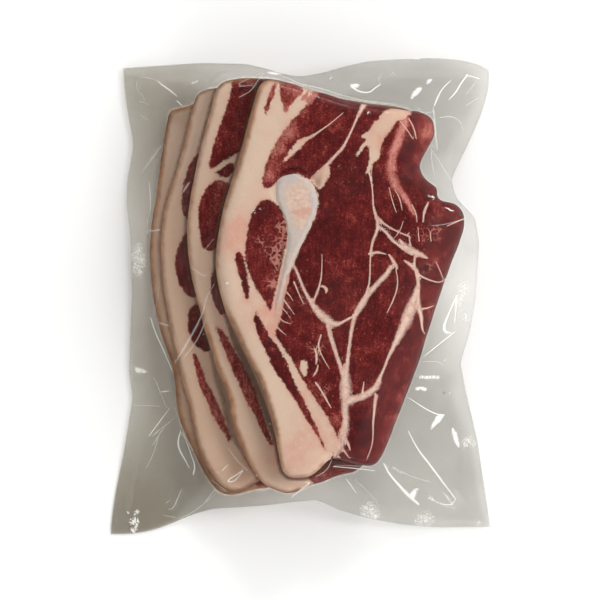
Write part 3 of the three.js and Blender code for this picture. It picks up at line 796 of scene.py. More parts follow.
def raw_pork_material(settings):
    """Raw pork: moist cut muscle, its fascicles divided by threads of fat, firm cream fat
    that is pinker beside the lean, and a scalded rind. Fat is the duller and lighter, and
    light soaks a little way into both. Shade in the gaps between the slices is painted on."""
    material = new_material("Raw pork, cut face")
    tree = material.node_tree
    coordinates = add_node(tree, "ShaderNodeTexCoord").outputs["Object"]
    along_fibres = add_node(tree, "ShaderNodeMapping", {
        "Vector": coordinates, "Rotation": (0, 0, math.radians(-12)), "Scale": (1, .22, 1)})
    noise = noise_maker(tree, coordinates)
    ragged = noise(2.8, 3, .6)
    fine = noise(1.1, 2, .6)
    grain = noise(.75, 2, .6)
    mottle = noise(5, 3, .55)
    broad = noise(20, 2)
    fibres = noise(1.3, 2, .6, along_fibres.outputs[0])

    lean = with_added(tree, attribute(tree, "lean"), (ragged, 2.3), (fine, 1.7), (mottle, 2.0))
    is_lean = remapped(tree, lean, -.45, .6)

    # Seams keep their place across, so a line thinner than the mesh's faces stays sharp.
    across = maths(tree, "ABSOLUTE", attribute(tree, "seam"))
    across = with_added(tree, across, (ragged, 1.2), (fine, 1.1))
    is_seam = along_line(tree, across, "seam_near", .25, 1.4)

    # Fascicles: cells of a few millimetres with threads of fat between some of them.
    warp = add_node(tree, "ShaderNodeTexNoise", {
        "Vector": coordinates, "Scale": 1000 / 4.0, "Detail": 2.0})
    warped = add_node(tree, "ShaderNodeVectorMath", {
        0: warp.outputs["Color"], 1: (.003, .003, .003), 2: coordinates},
        operation="MULTIPLY_ADD")
    cells = {"Vector": warped.outputs[0], "Scale": 1000 / 3.0}
    threads = texture_value(tree, "ShaderNodeTexVoronoi", cells, 0, feature="DISTANCE_TO_EDGE")
    cell_colour = texture_value(tree, "ShaderNodeTexVoronoi", cells, 1)
    cell_tone = maths(tree, "SUBTRACT", add_node(
        tree, "ShaderNodeSeparateColor", {"Color": cell_colour}).outputs[0], .5)
    marbled = attribute(tree, "marbled")
    thread_width = with_added(tree, -.07, (marbled, .27), (mottle, .3), (fine, .1))
    thread = maths(tree, "SUBTRACT", thread_width, threads)
    is_thread = remapped(tree, thread, -.05, .04, 0.0, settings.marbling)

    # Flecks of fat: dots under a millimetre wide, in some of the cells of a looser grid.
    dots = {"Vector": coordinates, "Scale": 1000 / 2.7}
    dot_distance = texture_value(tree, "ShaderNodeTexVoronoi", dots, 0)
    dot_colour = texture_value(tree, "ShaderNodeTexVoronoi", dots, 1)
    dot_size = add_node(tree, "ShaderNodeSeparateColor", {"Color": dot_colour}).outputs[1]
    dot_size = remapped(tree, dot_size, .35, 1.0, -.08, .22)
    fleck = maths(tree, "SUBTRACT", dot_size, dot_distance)
    is_fleck = remapped(tree, fleck, -.08, .1, 0.0, .32)

    tone = with_added(tree, attribute(tree, "tone"), (mottle, .9), (broad, .6), (grain, 1.25),
                      (fine, .9), (fibres, .75), (cell_tone, .2))
    tone = remapped(tree, tone, *TONE_RANGE)
    tree.nodes[-1].interpolation_type = "LINEAR"
    low, high = TONE_RANGE
    meat = colour_ramp(tree, tone, [((t - low) / (high - low), c) for t, c in LEAN_TONES])

    # Fat: cream, pinker by the lean and in patches, and tanner lower in the pack.
    pinkness = attribute(tree, "pink")
    pinkness = with_added(tree, pinkness, (broad, 1.2), (mottle, .6), (fine, .3))
    beside = remapped(tree, attribute(tree, "lean"), -3.5, .3, 0.0, .4)
    pinkness = maths(tree, "ADD", pinkness, beside)
    fat = blended(tree, remapped(tree, pinkness, -.1, 1.2), linear(settings.fat_colour),
                  linear(settings.pink_fat_colour))
    fat = blended(tree, remapped(tree, noise(1.8, 3, .6), .0, .35, 0.0, .5), fat,
                  linear("#d3beae"))
    # Lower chops' fat is blended towards a darker tan.
    fat = blended(tree, maths(tree, "MULTIPLY", attribute(tree, "aged"), .8), fat,
                  linear("#bb957a"))
    seam_fat = blended(tree, remapped(tree, ragged, -.25, .2), linear("#bf968a"),
                       linear("#d5bbae"))
    thread_fat = linear("#c08a7e")

    colour = blended(tree, is_fleck, meat, linear("#a8615a"))
    colour = blended(tree, is_thread, colour, thread_fat)
    colour = blended(tree, is_seam, colour, seam_fat)
    colour = blended(tree, is_lean, fat, colour)

    # Rind: a brown line round the skin side, which shows most where a chop leans over. Its
    # darkest brown, where spots widen the band, is painted shade at the step down to the chop
    # below.
    rind = maths(tree, "MULTIPLY_ADD", noise(3.2, 3, .6), 2.2, attribute(tree, "rind"))
    is_rind = remapped(tree, rind, -.8, 2.4, .85, 0.0)
    brown = blended(tree, remapped(tree, noise(7, 3), -.2, .25), linear("#82502f"),
                    linear("#ad7a55"))
    # Painted shade: the darkest brown, deep in a band that spots have widened.
    brown = blended(tree, remapped(tree, rind, -2.6, -.8, .85, 0.0), brown,
                    linear("#4b2c1d"))
    colour = blended(tree, is_rind, colour, brown)

    # Painted shade: a dark brown band on a lower chop along the edge of the chop above, in the
    # gap between the slices.
    gap = maths(tree, "MULTIPLY_ADD", ragged, .5, attribute(tree, "gap"))
    colour = blended(tree, remapped(tree, gap, .1, 1.0, 0.0, .8), colour, linear("#4b2c1f"))

    roughness = remapped(tree, is_lean, 0.0, 1.0, .55, .42)
    height = with_added(tree, grain, (fine, .6), (is_seam, .35), (is_thread, .2))
    bump = add_node(tree, "ShaderNodeBump", {"Height": height, "Strength": .4,
                                             "Distance": .4 * MM})
    shader = add_node(tree, "ShaderNodeBsdfPrincipled", {
        "Base Color": colour, "Roughness": roughness, "IOR": 1.4,
        "Specular IOR Level": .14, "Subsurface Weight": .1, "Subsurface Scale": 2 * MM,
        "Subsurface Radius": (1.0, .35, .25), "Normal": bump.outputs[0]})
    add_node(tree, "ShaderNodeOutputMaterial", {"Surface": shader.outputs[0]})
    return material


def cartilage_material():
    """Hyaline cartilage cut across: glassy, grey-white and bluish to the right, with a
    pink-beige core where the bone begins."""
    material = new_material("Hyaline cartilage")
    tree = material.node_tree
    coordinates = add_node(tree, "ShaderNodeTexCoord").outputs["Object"]
    noise = noise_maker(tree, coordinates)
    blotch = noise(3.5, 3)
    rim = blended(tree, attribute(tree, "blue"), linear("#beb1aa"), linear("#b3aeb4"))
    rim = blended(tree, remapped(tree, noise(1.6, 3), -.05, .3, 0.0, .35), rim,
                  linear("#a09796"))
    middle = blended(tree, remapped(tree, noise(2.2, 3), -.15, .2), linear("#c7a999"),
                     linear("#d3bcb0"))
    core = maths(tree, "MULTIPLY_ADD", blotch, 1.1, attribute(tree, "core"))
    colour = blended(tree, remapped(tree, core, .2, .8), rim, middle)
    warm = maths(tree, "MULTIPLY_ADD", noise(2.4, 3), 1.2, attribute(tree, "warm"))
    colour = blended(tree, remapped(tree, warm, .3, 1.1, 0.0, .8), colour, linear("#c59384"))
    tail = maths(tree, "MULTIPLY_ADD", noise(2.0, 3), .9, attribute(tree, "tail"))
    colour = blended(tree, remapped(tree, tail, .1, 1.1, 0.0, .9), colour, linear("#b98d80"))
    bump = add_node(tree, "ShaderNodeBump", {"Height": blotch, "Strength": .2,
                                             "Distance": .3 * MM})
    shader = add_node(tree, "ShaderNodeBsdfPrincipled", {
        "Base Color": colour, "Roughness": .36, "IOR": 1.42, "Specular IOR Level": .3,
        "Subsurface Weight": .2, "Subsurface Scale": 3 * MM,
        "Subsurface Radius": (1.0, .7, .6), "Normal": bump.outputs[0]})
    add_node(tree, "ShaderNodeOutputMaterial", {"Surface": shader.outputs[0]})
    return material


def film_material(settings):
    """PA/PE vacuum film, blown and laminated: clear and glossy, grey where two sheets lie
    together in the flange, and finely embossed on one side. Painted highlights lie along its
    creases, on crumpled patches and in glints."""
    material = new_material("PA/PE film")
    tree = material.node_tree
    coordinates = add_node(tree, "ShaderNodeTexCoord").outputs["Object"]
    noise = noise_maker(tree, coordinates)

    def crease(name):
        """1 along the middle of the nearest crease of this kind and 0 past its edges."""
        across = maths(tree, "ABSOLUTE", attribute(tree, name))
        return along_line(tree, across, name + "_near", .3, 1.1)

    margin = attribute(tree, "margin")
    tone = attribute(tree, "film_tone")
    tone = with_added(tree, tone, (noise(40, 2), .2), (noise(9, 3), .08))
    sideways = add_node(tree, "ShaderNodeSeparateXYZ", {"Vector": coordinates}).outputs["X"]
    grey = blended(tree, remapped(tree, sideways, -.09, .02), linear(settings.grey_tint),
                   linear(settings.cool_grey_tint))
    tint = blended(tree, tone, linear(settings.clear_tint), grey)
    tint = blended(tree, margin, linear("#fdfcfa"), tint)
    see_through = add_node(tree, "ShaderNodeBsdfTransparent", {"Color": tint})

    # Creases: relief, and painted highlights as white lines.
    white, faint = crease("white"), crease("faint")
    relief = maths(tree, "MULTIPLY_ADD", faint, .5, white)
    slack = maths(tree, "MULTIPLY_ADD", noise(2.4, 3), .1, maths(tree, "MULTIPLY", noise(11), .3))
    slack = maths(tree, "MULTIPLY", slack, remapped(tree, margin, 0.0, 1.0, .4, 1.0))
    relief = maths(tree, "ADD", relief, slack)
    bump = add_node(tree, "ShaderNodeBump", {"Height": relief, "Strength": .5,
                                             "Distance": .8 * MM})
    gloss = add_node(tree, "ShaderNodeBsdfGlossy", {
        "Color": (1, 1, 1, 1), "Roughness": .08, "Normal": bump.outputs[0]})
    fresnel = add_node(tree, "ShaderNodeFresnel", {"IOR": 1.45, "Normal": bump.outputs[0]})
    sheen = maths(tree, "MULTIPLY", fresnel.outputs[0], settings.gloss)
    sheen = maths(tree, "MINIMUM", sheen, settings.most_gloss)
    sheen = maths(tree, "MULTIPLY", sheen, remapped(tree, margin, 0.0, 1.0, .4, 1.0))
    skin = add_node(tree, "ShaderNodeMixShader", {
        0: sheen, 1: see_through.outputs[0], 2: gloss.outputs[0]})

    # Painted highlights of crumpled patches and glints break up into specks under a millimetre
    # wide.
    speck = noise(.8, 2)
    gleam = maths(tree, "MULTIPLY_ADD", noise(3, 3), 2.0, attribute(tree, "gleam"))
    gleam = remapped(tree, maths(tree, "MULTIPLY_ADD", speck, .8, gleam), -.5, 1.0, 0.0, .85)
    sparkle = maths(tree, "MULTIPLY_ADD", speck, 4.0, .55)
    sparkle = maths(tree, "MULTIPLY_ADD", noise(5, 2), 1.2, sparkle)
    glitter = maths(tree, "MULTIPLY", sparkle, attribute(tree, "glitter"))
    glitter = remapped(tree, glitter, .2, 1.1, 0.0, .85)
    haze = maths(tree, "MULTIPLY_ADD", noise(25, 2), .03, attribute(tree, "haze"))
    # Milkiness of the flange and the painted highlights of creases, patches and glints, in one
    # white diffuse shader.
    haze_and_highlights = maths(tree, "MAXIMUM", haze, maths(tree, "MULTIPLY", white, .78))
    haze_and_highlights = maths(tree, "MAXIMUM", haze_and_highlights, maths(tree, "MULTIPLY", faint, settings.faint_highlight))
    haze_and_highlights = maths(tree, "MAXIMUM", haze_and_highlights, maths(tree, "MAXIMUM", gleam, glitter))
    haze_and_highlight_white = add_node(tree, "ShaderNodeBsdfDiffuse", {"Color": linear("#f1f0ea")})
    film = add_node(tree, "ShaderNodeMixShader", {
        0: haze_and_highlights, 1: skin.outputs[0], 2: haze_and_highlight_white.outputs[0]})
    add_node(tree, "ShaderNodeOutputMaterial", {"Surface": film.outputs[0]})
    return material


def floor_material():
    """Matt white laminate."""
    material = new_material("Matt white laminate")
    tree = material.node_tree
    coordinates = add_node(tree, "ShaderNodeTexCoord").outputs["Object"]
    inputs = {"Vector": coordinates, "Scale": 6.0, "Detail": 2.0}
    value = texture_value(tree, "ShaderNodeTexNoise", inputs)
    colour = blended(tree, value, linear("#f4f4f3"), linear("#f8f8f7"))
    shader = add_node(tree, "ShaderNodeBsdfPrincipled", {
        "Base Color": colour, "Roughness": .6, "Specular IOR Level": .2})
    add_node(tree, "ShaderNodeOutputMaterial", {"Surface": shader.outputs[0]})
    return material


# ---- Settings -----------------------------------------------------------------------

def length_setting(name, description, value):
    return bpy.props.FloatProperty(name=name, description=description, default=value,
                                   unit="LENGTH", precision=5)


def share_setting(name, description, value):
    return bpy.props.FloatProperty(name=name, description=description, default=value,
                                   subtype="FACTOR", min=0, max=2)


def hex_setting(name, description, value):
    return bpy.props.StringProperty(name=name, description=description, default=value)


class MeatSettings(bpy.types.PropertyGroup):
    top_detail: length_setting("Top chop detail", "Side of a face on the top chop", .78 * MM)
    lower_detail: length_setting("Lower chop detail", "Side of a face lower down", 1.1 * MM)
    floor_gap: length_setting("Floor gap", "Room for the film under the meat", .35 * MM)
    muscle_rise: length_setting("Muscle rise", "How far a muscle swells past its seams", .5 * MM)
    unevenness: length_setting("Unevenness", "Height of the cut face's waves", .45 * MM)
    marbling: share_setting("Marbling", "How clearly threads of fat show in the lean", .5)
    fat_colour: hex_setting("Fat colour", "Firm fat, sRGB hex", "#cab19f")
    pink_fat_colour: hex_setting("Pink fat colour", "Fat beside the lean", "#c89888")


class FilmSettings(bpy.types.PropertyGroup):
    detail: length_setting("Film detail", "Side of a face on the top sheet", .86 * MM)
    cling: length_setting("Cling", "Height of the film over the meat", .18 * MM)
    bridging: bpy.props.IntProperty(name="Bridging", default=7, description=(
        "Rounds of tightening, which span the steps between chops"))
    gloss: share_setting("Gloss", "Reflection of the film, against bare plastic's", .45)
    most_gloss: share_setting("Most gloss", "Most that the film reflects at a slant", .06)
    seal_width: length_setting("Seal width", "Width of the welded side bands", 9 * MM)
    crease_depth: share_setting("Crease depth", "Height of all the folds", 1.0)
    clear_tint: hex_setting("Clear tint", "Flange film where clearest, sRGB hex", "#fdfdfb")
    grey_tint: hex_setting("Grey tint", "Flange film where greyest, sRGB hex", "#aaa498")
    cool_grey_tint: hex_setting("Cool grey tint", "The same to the right", "#a7a6a2")
    # How white the fainter creases' painted highlights are.
    faint_highlight: share_setting("Faint creases", "How white the fainter creases are", .3)


class StageSettings(bpy.types.PropertyGroup):
    floor_size: length_setting("Floor size", "Side of the floor", 6.0)
    camera_height: length_setting("Camera height", "Above the floor", CAMERA_HEIGHT * MM)
    sky: share_setting("Sky", "Strength of the soft light from all round", 1.34)
    lamps: share_setting("Lamps", "Strength of the studio lamps", .6)


# ---- The meat -----------------------------------------------------------------------

LEAN_TONE = .48      # tone of the lean where no area or spot changes it
SALMON_TONE = 1.1    # how much lighter the salmon band is
TONE_OVERLAP = 1.5   # millimetres that an area's tone reaches past its outline


def top_pattern(places):
    """Lean, seams, tone, pinkness and marbling of the top chop's cut face at places in
    millimetres, as arrays."""
    def on_face(points):
        return from_photo(points, TOP_FACE)

    def spots(listed):
        return soft_spots(places, listed, TOP_FACE)

    lean = depth_inside(places, rounded(on_face(LEAN_FIELD), True))
    tone = np.full(len(places), LEAN_TONE)
    for area_tone, outline in LEAN_AREAS.values():
        depth = area_depth(places, on_face(outline))
        tone = np.where(depth > -TONE_OVERLAP, area_tone, tone)
        lean = np.maximum(lean, depth)
    for outline in FAT_AREAS.values():
        lean = np.minimum(lean, -area_depth(places, on_face(outline)))
    across, near = line_field(places, [on_face(seam) for seam in FAT_SEAMS])
    band, band_near = line_field(places, [on_face(line) for line in SALMON_BAND], 3.0)
    tone = tone + on_line(band, band_near) * SALMON_TONE + spots(TONE_SPOTS)
    return {"lean": lean, "seam": across, "seam_near": near, "tone": tone,
            "pink": spots(PINK_SPOTS), "marbled": spots(MARBLED_SPOTS),
            "gap": np.zeros(len(places))}


WAVER_LENGTH = 24     # millimetres over which a lower slice's pattern wavers
WAVER = 3.0           # millimetres that it wavers by
HIDDEN_MARGIN = 5.0   # millimetres in from the chop above where its own pattern begins
PATCH_OVERLAP = 1.0   # millimetres that a patch's tone reaches past its outline


def chop_pattern(name, places):
    """The pattern of any chop. A lower chop shows patches of its own where the chops above
    leave it bare."""
    flat = places[:, :2]
    if name == CHOP_NAMES[-1]:
        return top_pattern(flat)
    seed = CHOP_NAMES.index(name) + 1
    waver = [lattice_noise(flat, WAVER_LENGTH, k) for k in (seed, seed + 10)]
    pattern = top_pattern(flat - SLICE_SHIFT[name] + WAVER * np.column_stack(waver))
    above = CHOP_NAMES[CHOP_NAMES.index(name) + 1]
    covered = depth_inside(flat, outline_of(above, 240))
    hidden = covered - HIDDEN_MARGIN
    pattern["lean"] = np.minimum(pattern["lean"], hidden)
    pattern["seam_near"] = np.where(hidden > 0, pattern["seam_near"], 0.0)
    for tone, outline in LOWER_PATCHES[name]:
        depth = area_depth(flat, from_photo(outline, LOWER_FACE[name]))
        pattern["tone"] = np.where(depth > -PATCH_OVERLAP, tone, pattern["tone"])
        pattern["lean"] = np.maximum(pattern["lean"], depth)
    # Painted shade along the edge of the chop above, kept as the gap attribute.
    wider = soft_spots(flat, GAP_SHADE_SPOTS[name], LOWER_FACE[name])
    gap = smooth_step(covered, -2.4 - wider, -.2 - .7 * wider)
    pattern["gap"] = gap * GAP_SHADE_STRENGTH[name]
    return pattern


# Where the rind's band is wider: partly more rind showing where a chop leans over, partly painted
# shade at the step down to the chop below: x, y, radius and how much wider, in millimetres.
RIND_AND_SHADE_SPOTS = {
    "chop_1": [],
    "chop_2": [],
    "chop_3": [(206, 345, 24, 1.2), (222, 400, 28, 2.8), (236, 440, 18, 1.6)],
    "chop_4": [(228, 335, 24, 2.6), (246, 385, 28, 3.8), (260, 428, 20, 2.6),
               (258, 88, 16, 1.4), (246, 122, 22, 1.3), (234, 160, 24, 1.1),
               (224, 200, 26, .9), (215, 245, 20, .6)],
}


def rind_depth(name, places):
    """Distance in past the rind's band, which is on one side of the chop only."""
    outline = outline_of(name)
    depth = np.maximum(0, depth_inside(places[:, :2], outline)) - RIND_WIDTH[name]
    depth -= soft_spots(places, RIND_AND_SHADE_SPOTS[name], TOP_FACE)
    low, high = (np.array(corner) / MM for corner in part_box(name))
    across = (places[:, 0] - low[0]) / (high[0] - low[0])
    along = (places[:, 1] - low[1]) / (high[1] - low[1])
    # The rind runs down the left side and round the toe, and stops at these two lines.
    past_top = smooth_step(across - .10 - .16 * along, .0, .06)
    past_toe = smooth_step(across - .42 - .1 * along, .0, .06)
    return depth + 9.0 * np.where(along > .5, past_top, past_toe)


# Waves of the cut face: share of the unevenness, length in millimetres and random seed.
FACE_WAVES = [(1.0, 17, 3), (.4, 6, 4), (.12, 2.4, 5)]
LOWER_RISE = .3          # most millimetres that a lower chop's face swells
TAN_BETWEEN = (80, 45)  # millimetres along the pack, from the first share to the second


def sculpt_chop(obj, name, settings):
    """Shapes the cut face: muscles swell past their seams, and the whole is uneven."""
    places = places_of(obj)
    normals = normals_of(obj)
    pattern = chop_pattern(name, places)
    swell = smooth_step(pattern["lean"], -.3, 2.4)
    in_seam = on_line(pattern["seam"], pattern["seam_near"])
    rise = settings.muscle_rise / MM
    wave = settings.unevenness / MM
    move = rise * (swell - .5) - .6 * rise * in_seam * (swell > 0)
    for share, length, seed in FACE_WAVES:
        move += share * wave * lattice_noise(places, length, seed)
    move *= np.where(np.abs(normals[:, 2]) > .4, 1.0, .7)
    if name != CHOP_NAMES[-1]:
        move = np.minimum(move, LOWER_RISE)
    places += normals * move[:, None]
    places[:, 2] = np.maximum(places[:, 2], settings.floor_gap / MM)
    place_all(obj, places)
    for key, values in pattern.items():
        keep_attribute(obj, key, values)
    keep_attribute(obj, "rind", rind_depth(name, places))
    aged, tan_share_lower = TAN_SHARES[name]
    lower = smooth_step(places[:, 1], *TAN_BETWEEN)
    keep_attribute(obj, "aged", aged + (tan_share_lower - aged) * lower)


PLUG_WIDER = 1.6    # millimetres that the plug under the cartilage reaches out past it
PLUG_TOP = -.35     # millimetres that its upper side is moved up
PLUG_BOTTOM = .6    # millimetres that its lower side is moved up


def close_hole(obj):
    """Fills the cut face where the cartilage lies on it, so that no groove shows round it."""
    plug = copy_of_node("blade_cartilage", "plug")
    places, normals = places_of(plug), normals_of(plug)
    places += PLUG_WIDER * normals * [1, 1, 0]
    places[:, 2] += np.where(normals[:, 2] > .2, PLUG_TOP, PLUG_BOTTOM)
    place_all(plug, places)
    select_only(obj)
    plug.select_set(True)
    bpy.ops.object.join()


def detail_now(detail):
    return detail * 1.0


def make_chop(name, settings, material):
    obj = copy_of_node(name, MEAT_PREFIX + name)
    is_top = name == CHOP_NAMES[-1]
    detail = detail_now(settings.top_detail if is_top else settings.lower_detail)
    apply_modifier(obj, "SUBSURF", levels=2, render_levels=2)
    if is_top:
        close_hole(obj)
    apply_modifier(obj, "REMESH", mode="VOXEL", voxel_size=detail)
    apply_modifier(obj, "SMOOTH", factor=.5, iterations=round(4 * MM / detail))
    sculpt_chop(obj, name, settings)
    finish_piece(obj, [name], material)


class CHOPS_OT_chops(bpy.types.Operator):
    """Adds the chops, each a sculpted copy of its solid"""

    bl_idname = "chops.chops"
    bl_label = "Chops"

    def execute(self, context):
        settings = context.scene.chop_meat
        material = raw_pork_material(settings)
        for name in CHOP_NAMES:
            make_chop(name, settings, material)
        return {"FINISHED"}


class CHOPS_OT_cartilage(bpy.types.Operator):
    """Adds the blade cartilage in the top chop"""

    bl_idname = "chops.cartilage"
    bl_label = "Blade cartilage"

    # Where its core, warm spots and bluish rim show: x, y, radius and strength.
    CORE = [(298, 194, 13, 1.2), (301, 212, 10, 1.1), (299, 226, 7, .6)]
    WARM = [(307, 212, 6, 1.0), (294, 211, 5, .8), (300, 216, 5, .5)]
    BLUE = [(315, 196, 7, .7), (300, 176, 7, .6), (289, 179, 6, .5), (316, 208, 6, .6),
            (279, 188, 4, .3)]
    CONTACT = .5    # millimetres that it spreads to meet the meat all round
    EDGE_DROP = .6  # millimetres that its rim sinks under the meat
    CROWN = .35     # millimetres that its middle stands above the solid
    TAIL = (238, 336)  # the tail's start and tip, in the photograph's pixels

    def execute(self, context):
        obj = copy_of_node("blade_cartilage", MEAT_PREFIX + "blade_cartilage")
        apply_modifier(obj, "REMESH", mode="VOXEL", voxel_size=.45 * MM)
        apply_modifier(obj, "SMOOTH", factor=.5, iterations=6)
        places = places_of(obj)
        normals = normals_of(obj)
        outline = outline_of("blade_cartilage", 360)
        depth = depth_inside(places[:, :2], outline)
        places += self.CONTACT * smooth_step(depth, 2.5, 0)[:, None] * normals * [1, 1, 0]
        start, tip = from_photo([(0, y) for y in self.TAIL], TOP_FACE)[:, 1]
        tail = np.clip((places[:, 1] - start) / (tip - start), 0, 1.2)
        # The tail narrows to a point: its sides sink under the meat towards its tip.
        depth = depth - 1.6 * tail + .5 * lattice_noise(places, 2.6, 9)
        upper = smooth_step(normals[:, 2], -.2, .4)
        crown = smooth_step(depth, -.6, 2.2)
        places[:, 2] += upper * (crown * (self.CROWN + self.EDGE_DROP) - self.EDGE_DROP)
        places[:, 2] += .12 * lattice_noise(places, 3.5, 8)
        place_all(obj, places)
        for name, spots in (("core", self.CORE), ("warm", self.WARM), ("blue", self.BLUE)):
            keep_attribute(obj, name, soft_spots(places, spots, TOP_FACE))
        keep_attribute(obj, "tail", tail)
        finish_piece(obj, ["blade_cartilage"], cartilage_material())
        return {"FINISHED"}


# ---- The film -----------------------------------------------------------------------

def pouch_corners(outline):
    """Indices of the pouch's corners on its outline: lower left, lower right, upper right
    and upper left."""
    signs = [(-1, -1), (1, -1), (1, 1), (-1, 1)]
    return [int(np.argmax(outline @ np.array(sign, float))) for sign in signs]


EDGE_SMOOTHING = 30  # rounds that smooth each edge of the pouch's outline


def edge_between(outline, first, last, steps):
    """The outline from one corner to the next, anticlockwise, in equal steps, smoothed."""
    count = (last - first) % len(outline)
    line = outline[(first + np.arange(count + 1)) % len(outline)]
    for _ in range(EDGE_SMOOTHING):
        line[1:-1] = (line[:-2] + 2 * line[1:-1] + line[2:]) / 4
    lengths = np.concatenate([[0], np.cumsum(np.hypot(*np.diff(line, axis=0).T))])
    at = np.linspace(0, lengths[-1], steps)
    return np.column_stack([np.interp(at, lengths, line[:, k]) for k in (0, 1)])


class PouchMap:
    """Maps shares across and along the pouch, 0 to 1, to places on the floor, by blending
    between its four edges."""

    def __init__(self, steps=400):
        outline = outline_of("vacuum_pouch", 1440)
        a, b, c, d = pouch_corners(outline)
        self.shares = np.linspace(0, 1, steps)
        self.bottom = edge_between(outline, a, b, steps)
        self.right = edge_between(outline, b, c, steps)
        self.top = edge_between(outline, c, d, steps)[::-1]
        self.left = edge_between(outline, d, a, steps)[::-1]

    def along_edge(self, edge, share):
        return np.column_stack([np.interp(share, self.shares, edge[:, k]) for k in (0, 1)])

    def __call__(self, shares):
        u, v = shares.T
        bottom, top = self.along_edge(self.bottom, u), self.along_edge(self.top, u)
        left, right = self.along_edge(self.left, v), self.along_edge(self.right, v)
        u, v = u[:, None], v[:, None]
        corners = ((1 - u) * (1 - v) * self.bottom[0] + u * (1 - v) * self.bottom[-1]
                   + (1 - u) * v * self.top[0] + u * v * self.top[-1])
        return (1 - v) * bottom + v * top + (1 - u) * left + u * right - corners


def surface_tree(obj):
    """A piece's faces, ready for rays."""
    return BVHTree.FromObject(obj, bpy.context.evaluated_depsgraph_get())


def ray_heights(trees, places, downwards, missing):
    """Where vertical rays through the places first meet one of the trees, in millimetres."""
    low, high = CAD_BOX
    start = high[2] + .02 if downwards else low[2] - .02
    direction = Vector((0, 0, -1 if downwards else 1))
    nearest = max if downwards else min
    heights = np.full(len(places), float(missing))
    for i, (x, y) in enumerate(places * MM):
        hits = [tree.ray_cast(Vector((x, y, start)), direction)[0] for tree in trees]
        hits = [hit.z for hit in hits if hit is not None]
        if hits:
            heights[i] = nearest(hits) / MM
    return heights


class PouchSolid:
    """Heights of the pouch's solid, which are taken a little way in past its edge."""

    MISSING = -1e3             # height given where no solid is met
    INWARDS = (.985, .97, .95)  # shares of the way out from the middle, tried in turn
    AT_EDGE = 1.0              # height in millimetres where all of these miss it

    def __init__(self):
        self.trees = [surface_tree(frame["nodes"]["vacuum_pouch"])]

    def heights(self, places, downwards):
        heights = np.full(len(places), self.MISSING)
        for share in self.INWARDS:
            todo = heights == self.MISSING
            if todo.any():
                found = ray_heights(self.trees, places[todo] * share, downwards, self.MISSING)
                heights[todo] = found
        return np.where(heights == self.MISSING, self.AT_EDGE, heights)


def add_sheet(name, counts):
    """A flat grid, one unit square, with counts[0] by counts[1] vertices, and the share
    across and along of each vertex."""
    bpy.ops.object.select_all(action="DESELECT")
    bpy.ops.mesh.primitive_grid_add(x_subdivisions=counts[0] - 1, y_subdivisions=counts[1] - 1,
                                    size=1)
    obj = bpy.context.object
    obj.name = name
    return obj, shares_of(obj)


def shares_of(obj):
    """Shares across and along the unit square of a sheet's vertices."""
    return places_of(obj)[:, :2] * MM + .5


def shifted(sheet, steps):
    """The sheet's values moved by one cell each of these ways, as a list of sheets."""
    padded = np.pad(sheet, 1, mode="edge")
    wide, long = sheet.shape
    return [padded[1 + i:1 + i + wide, 1 + j:1 + j + long] for i, j in steps]


STRAIGHT = [(1, 0), (-1, 0), (0, 1), (0, -1)]
SLANTED = [(1, 1), (-1, -1), (1, -1), (-1, 1)]


def tightened(heights, obstacle, free, rounds):
    """Pulls the sheet tight over the obstacle where it is free to move."""
    for _ in range(rounds):
        mean = (sum(shifted(heights, STRAIGHT)) + .5 * sum(shifted(heights, SLANTED))) / 6
        heights = np.where(free, np.maximum(obstacle, mean), heights)
    return heights


def softened(sheet, rounds):
    for _ in range(rounds):
        sheet = (sum(shifted(sheet, STRAIGHT)) + 4 * sheet) / 8
    return sheet


def sampled(sheet, shares):
    """Values of a sheet at shares across and along it, blended between its cells."""
    at = shares * (np.array(sheet.shape) - 1)
    base = np.clip(np.floor(at).astype(int), 0, np.array(sheet.shape) - 2)
    (s, t), (i, j) = (at - base).T, base.T
    return ((1 - s) * (1 - t) * sheet[i, j] + s * (1 - t) * sheet[i + 1, j]
            + (1 - s) * t * sheet[i, j + 1] + s * t * sheet[i + 1, j + 1])


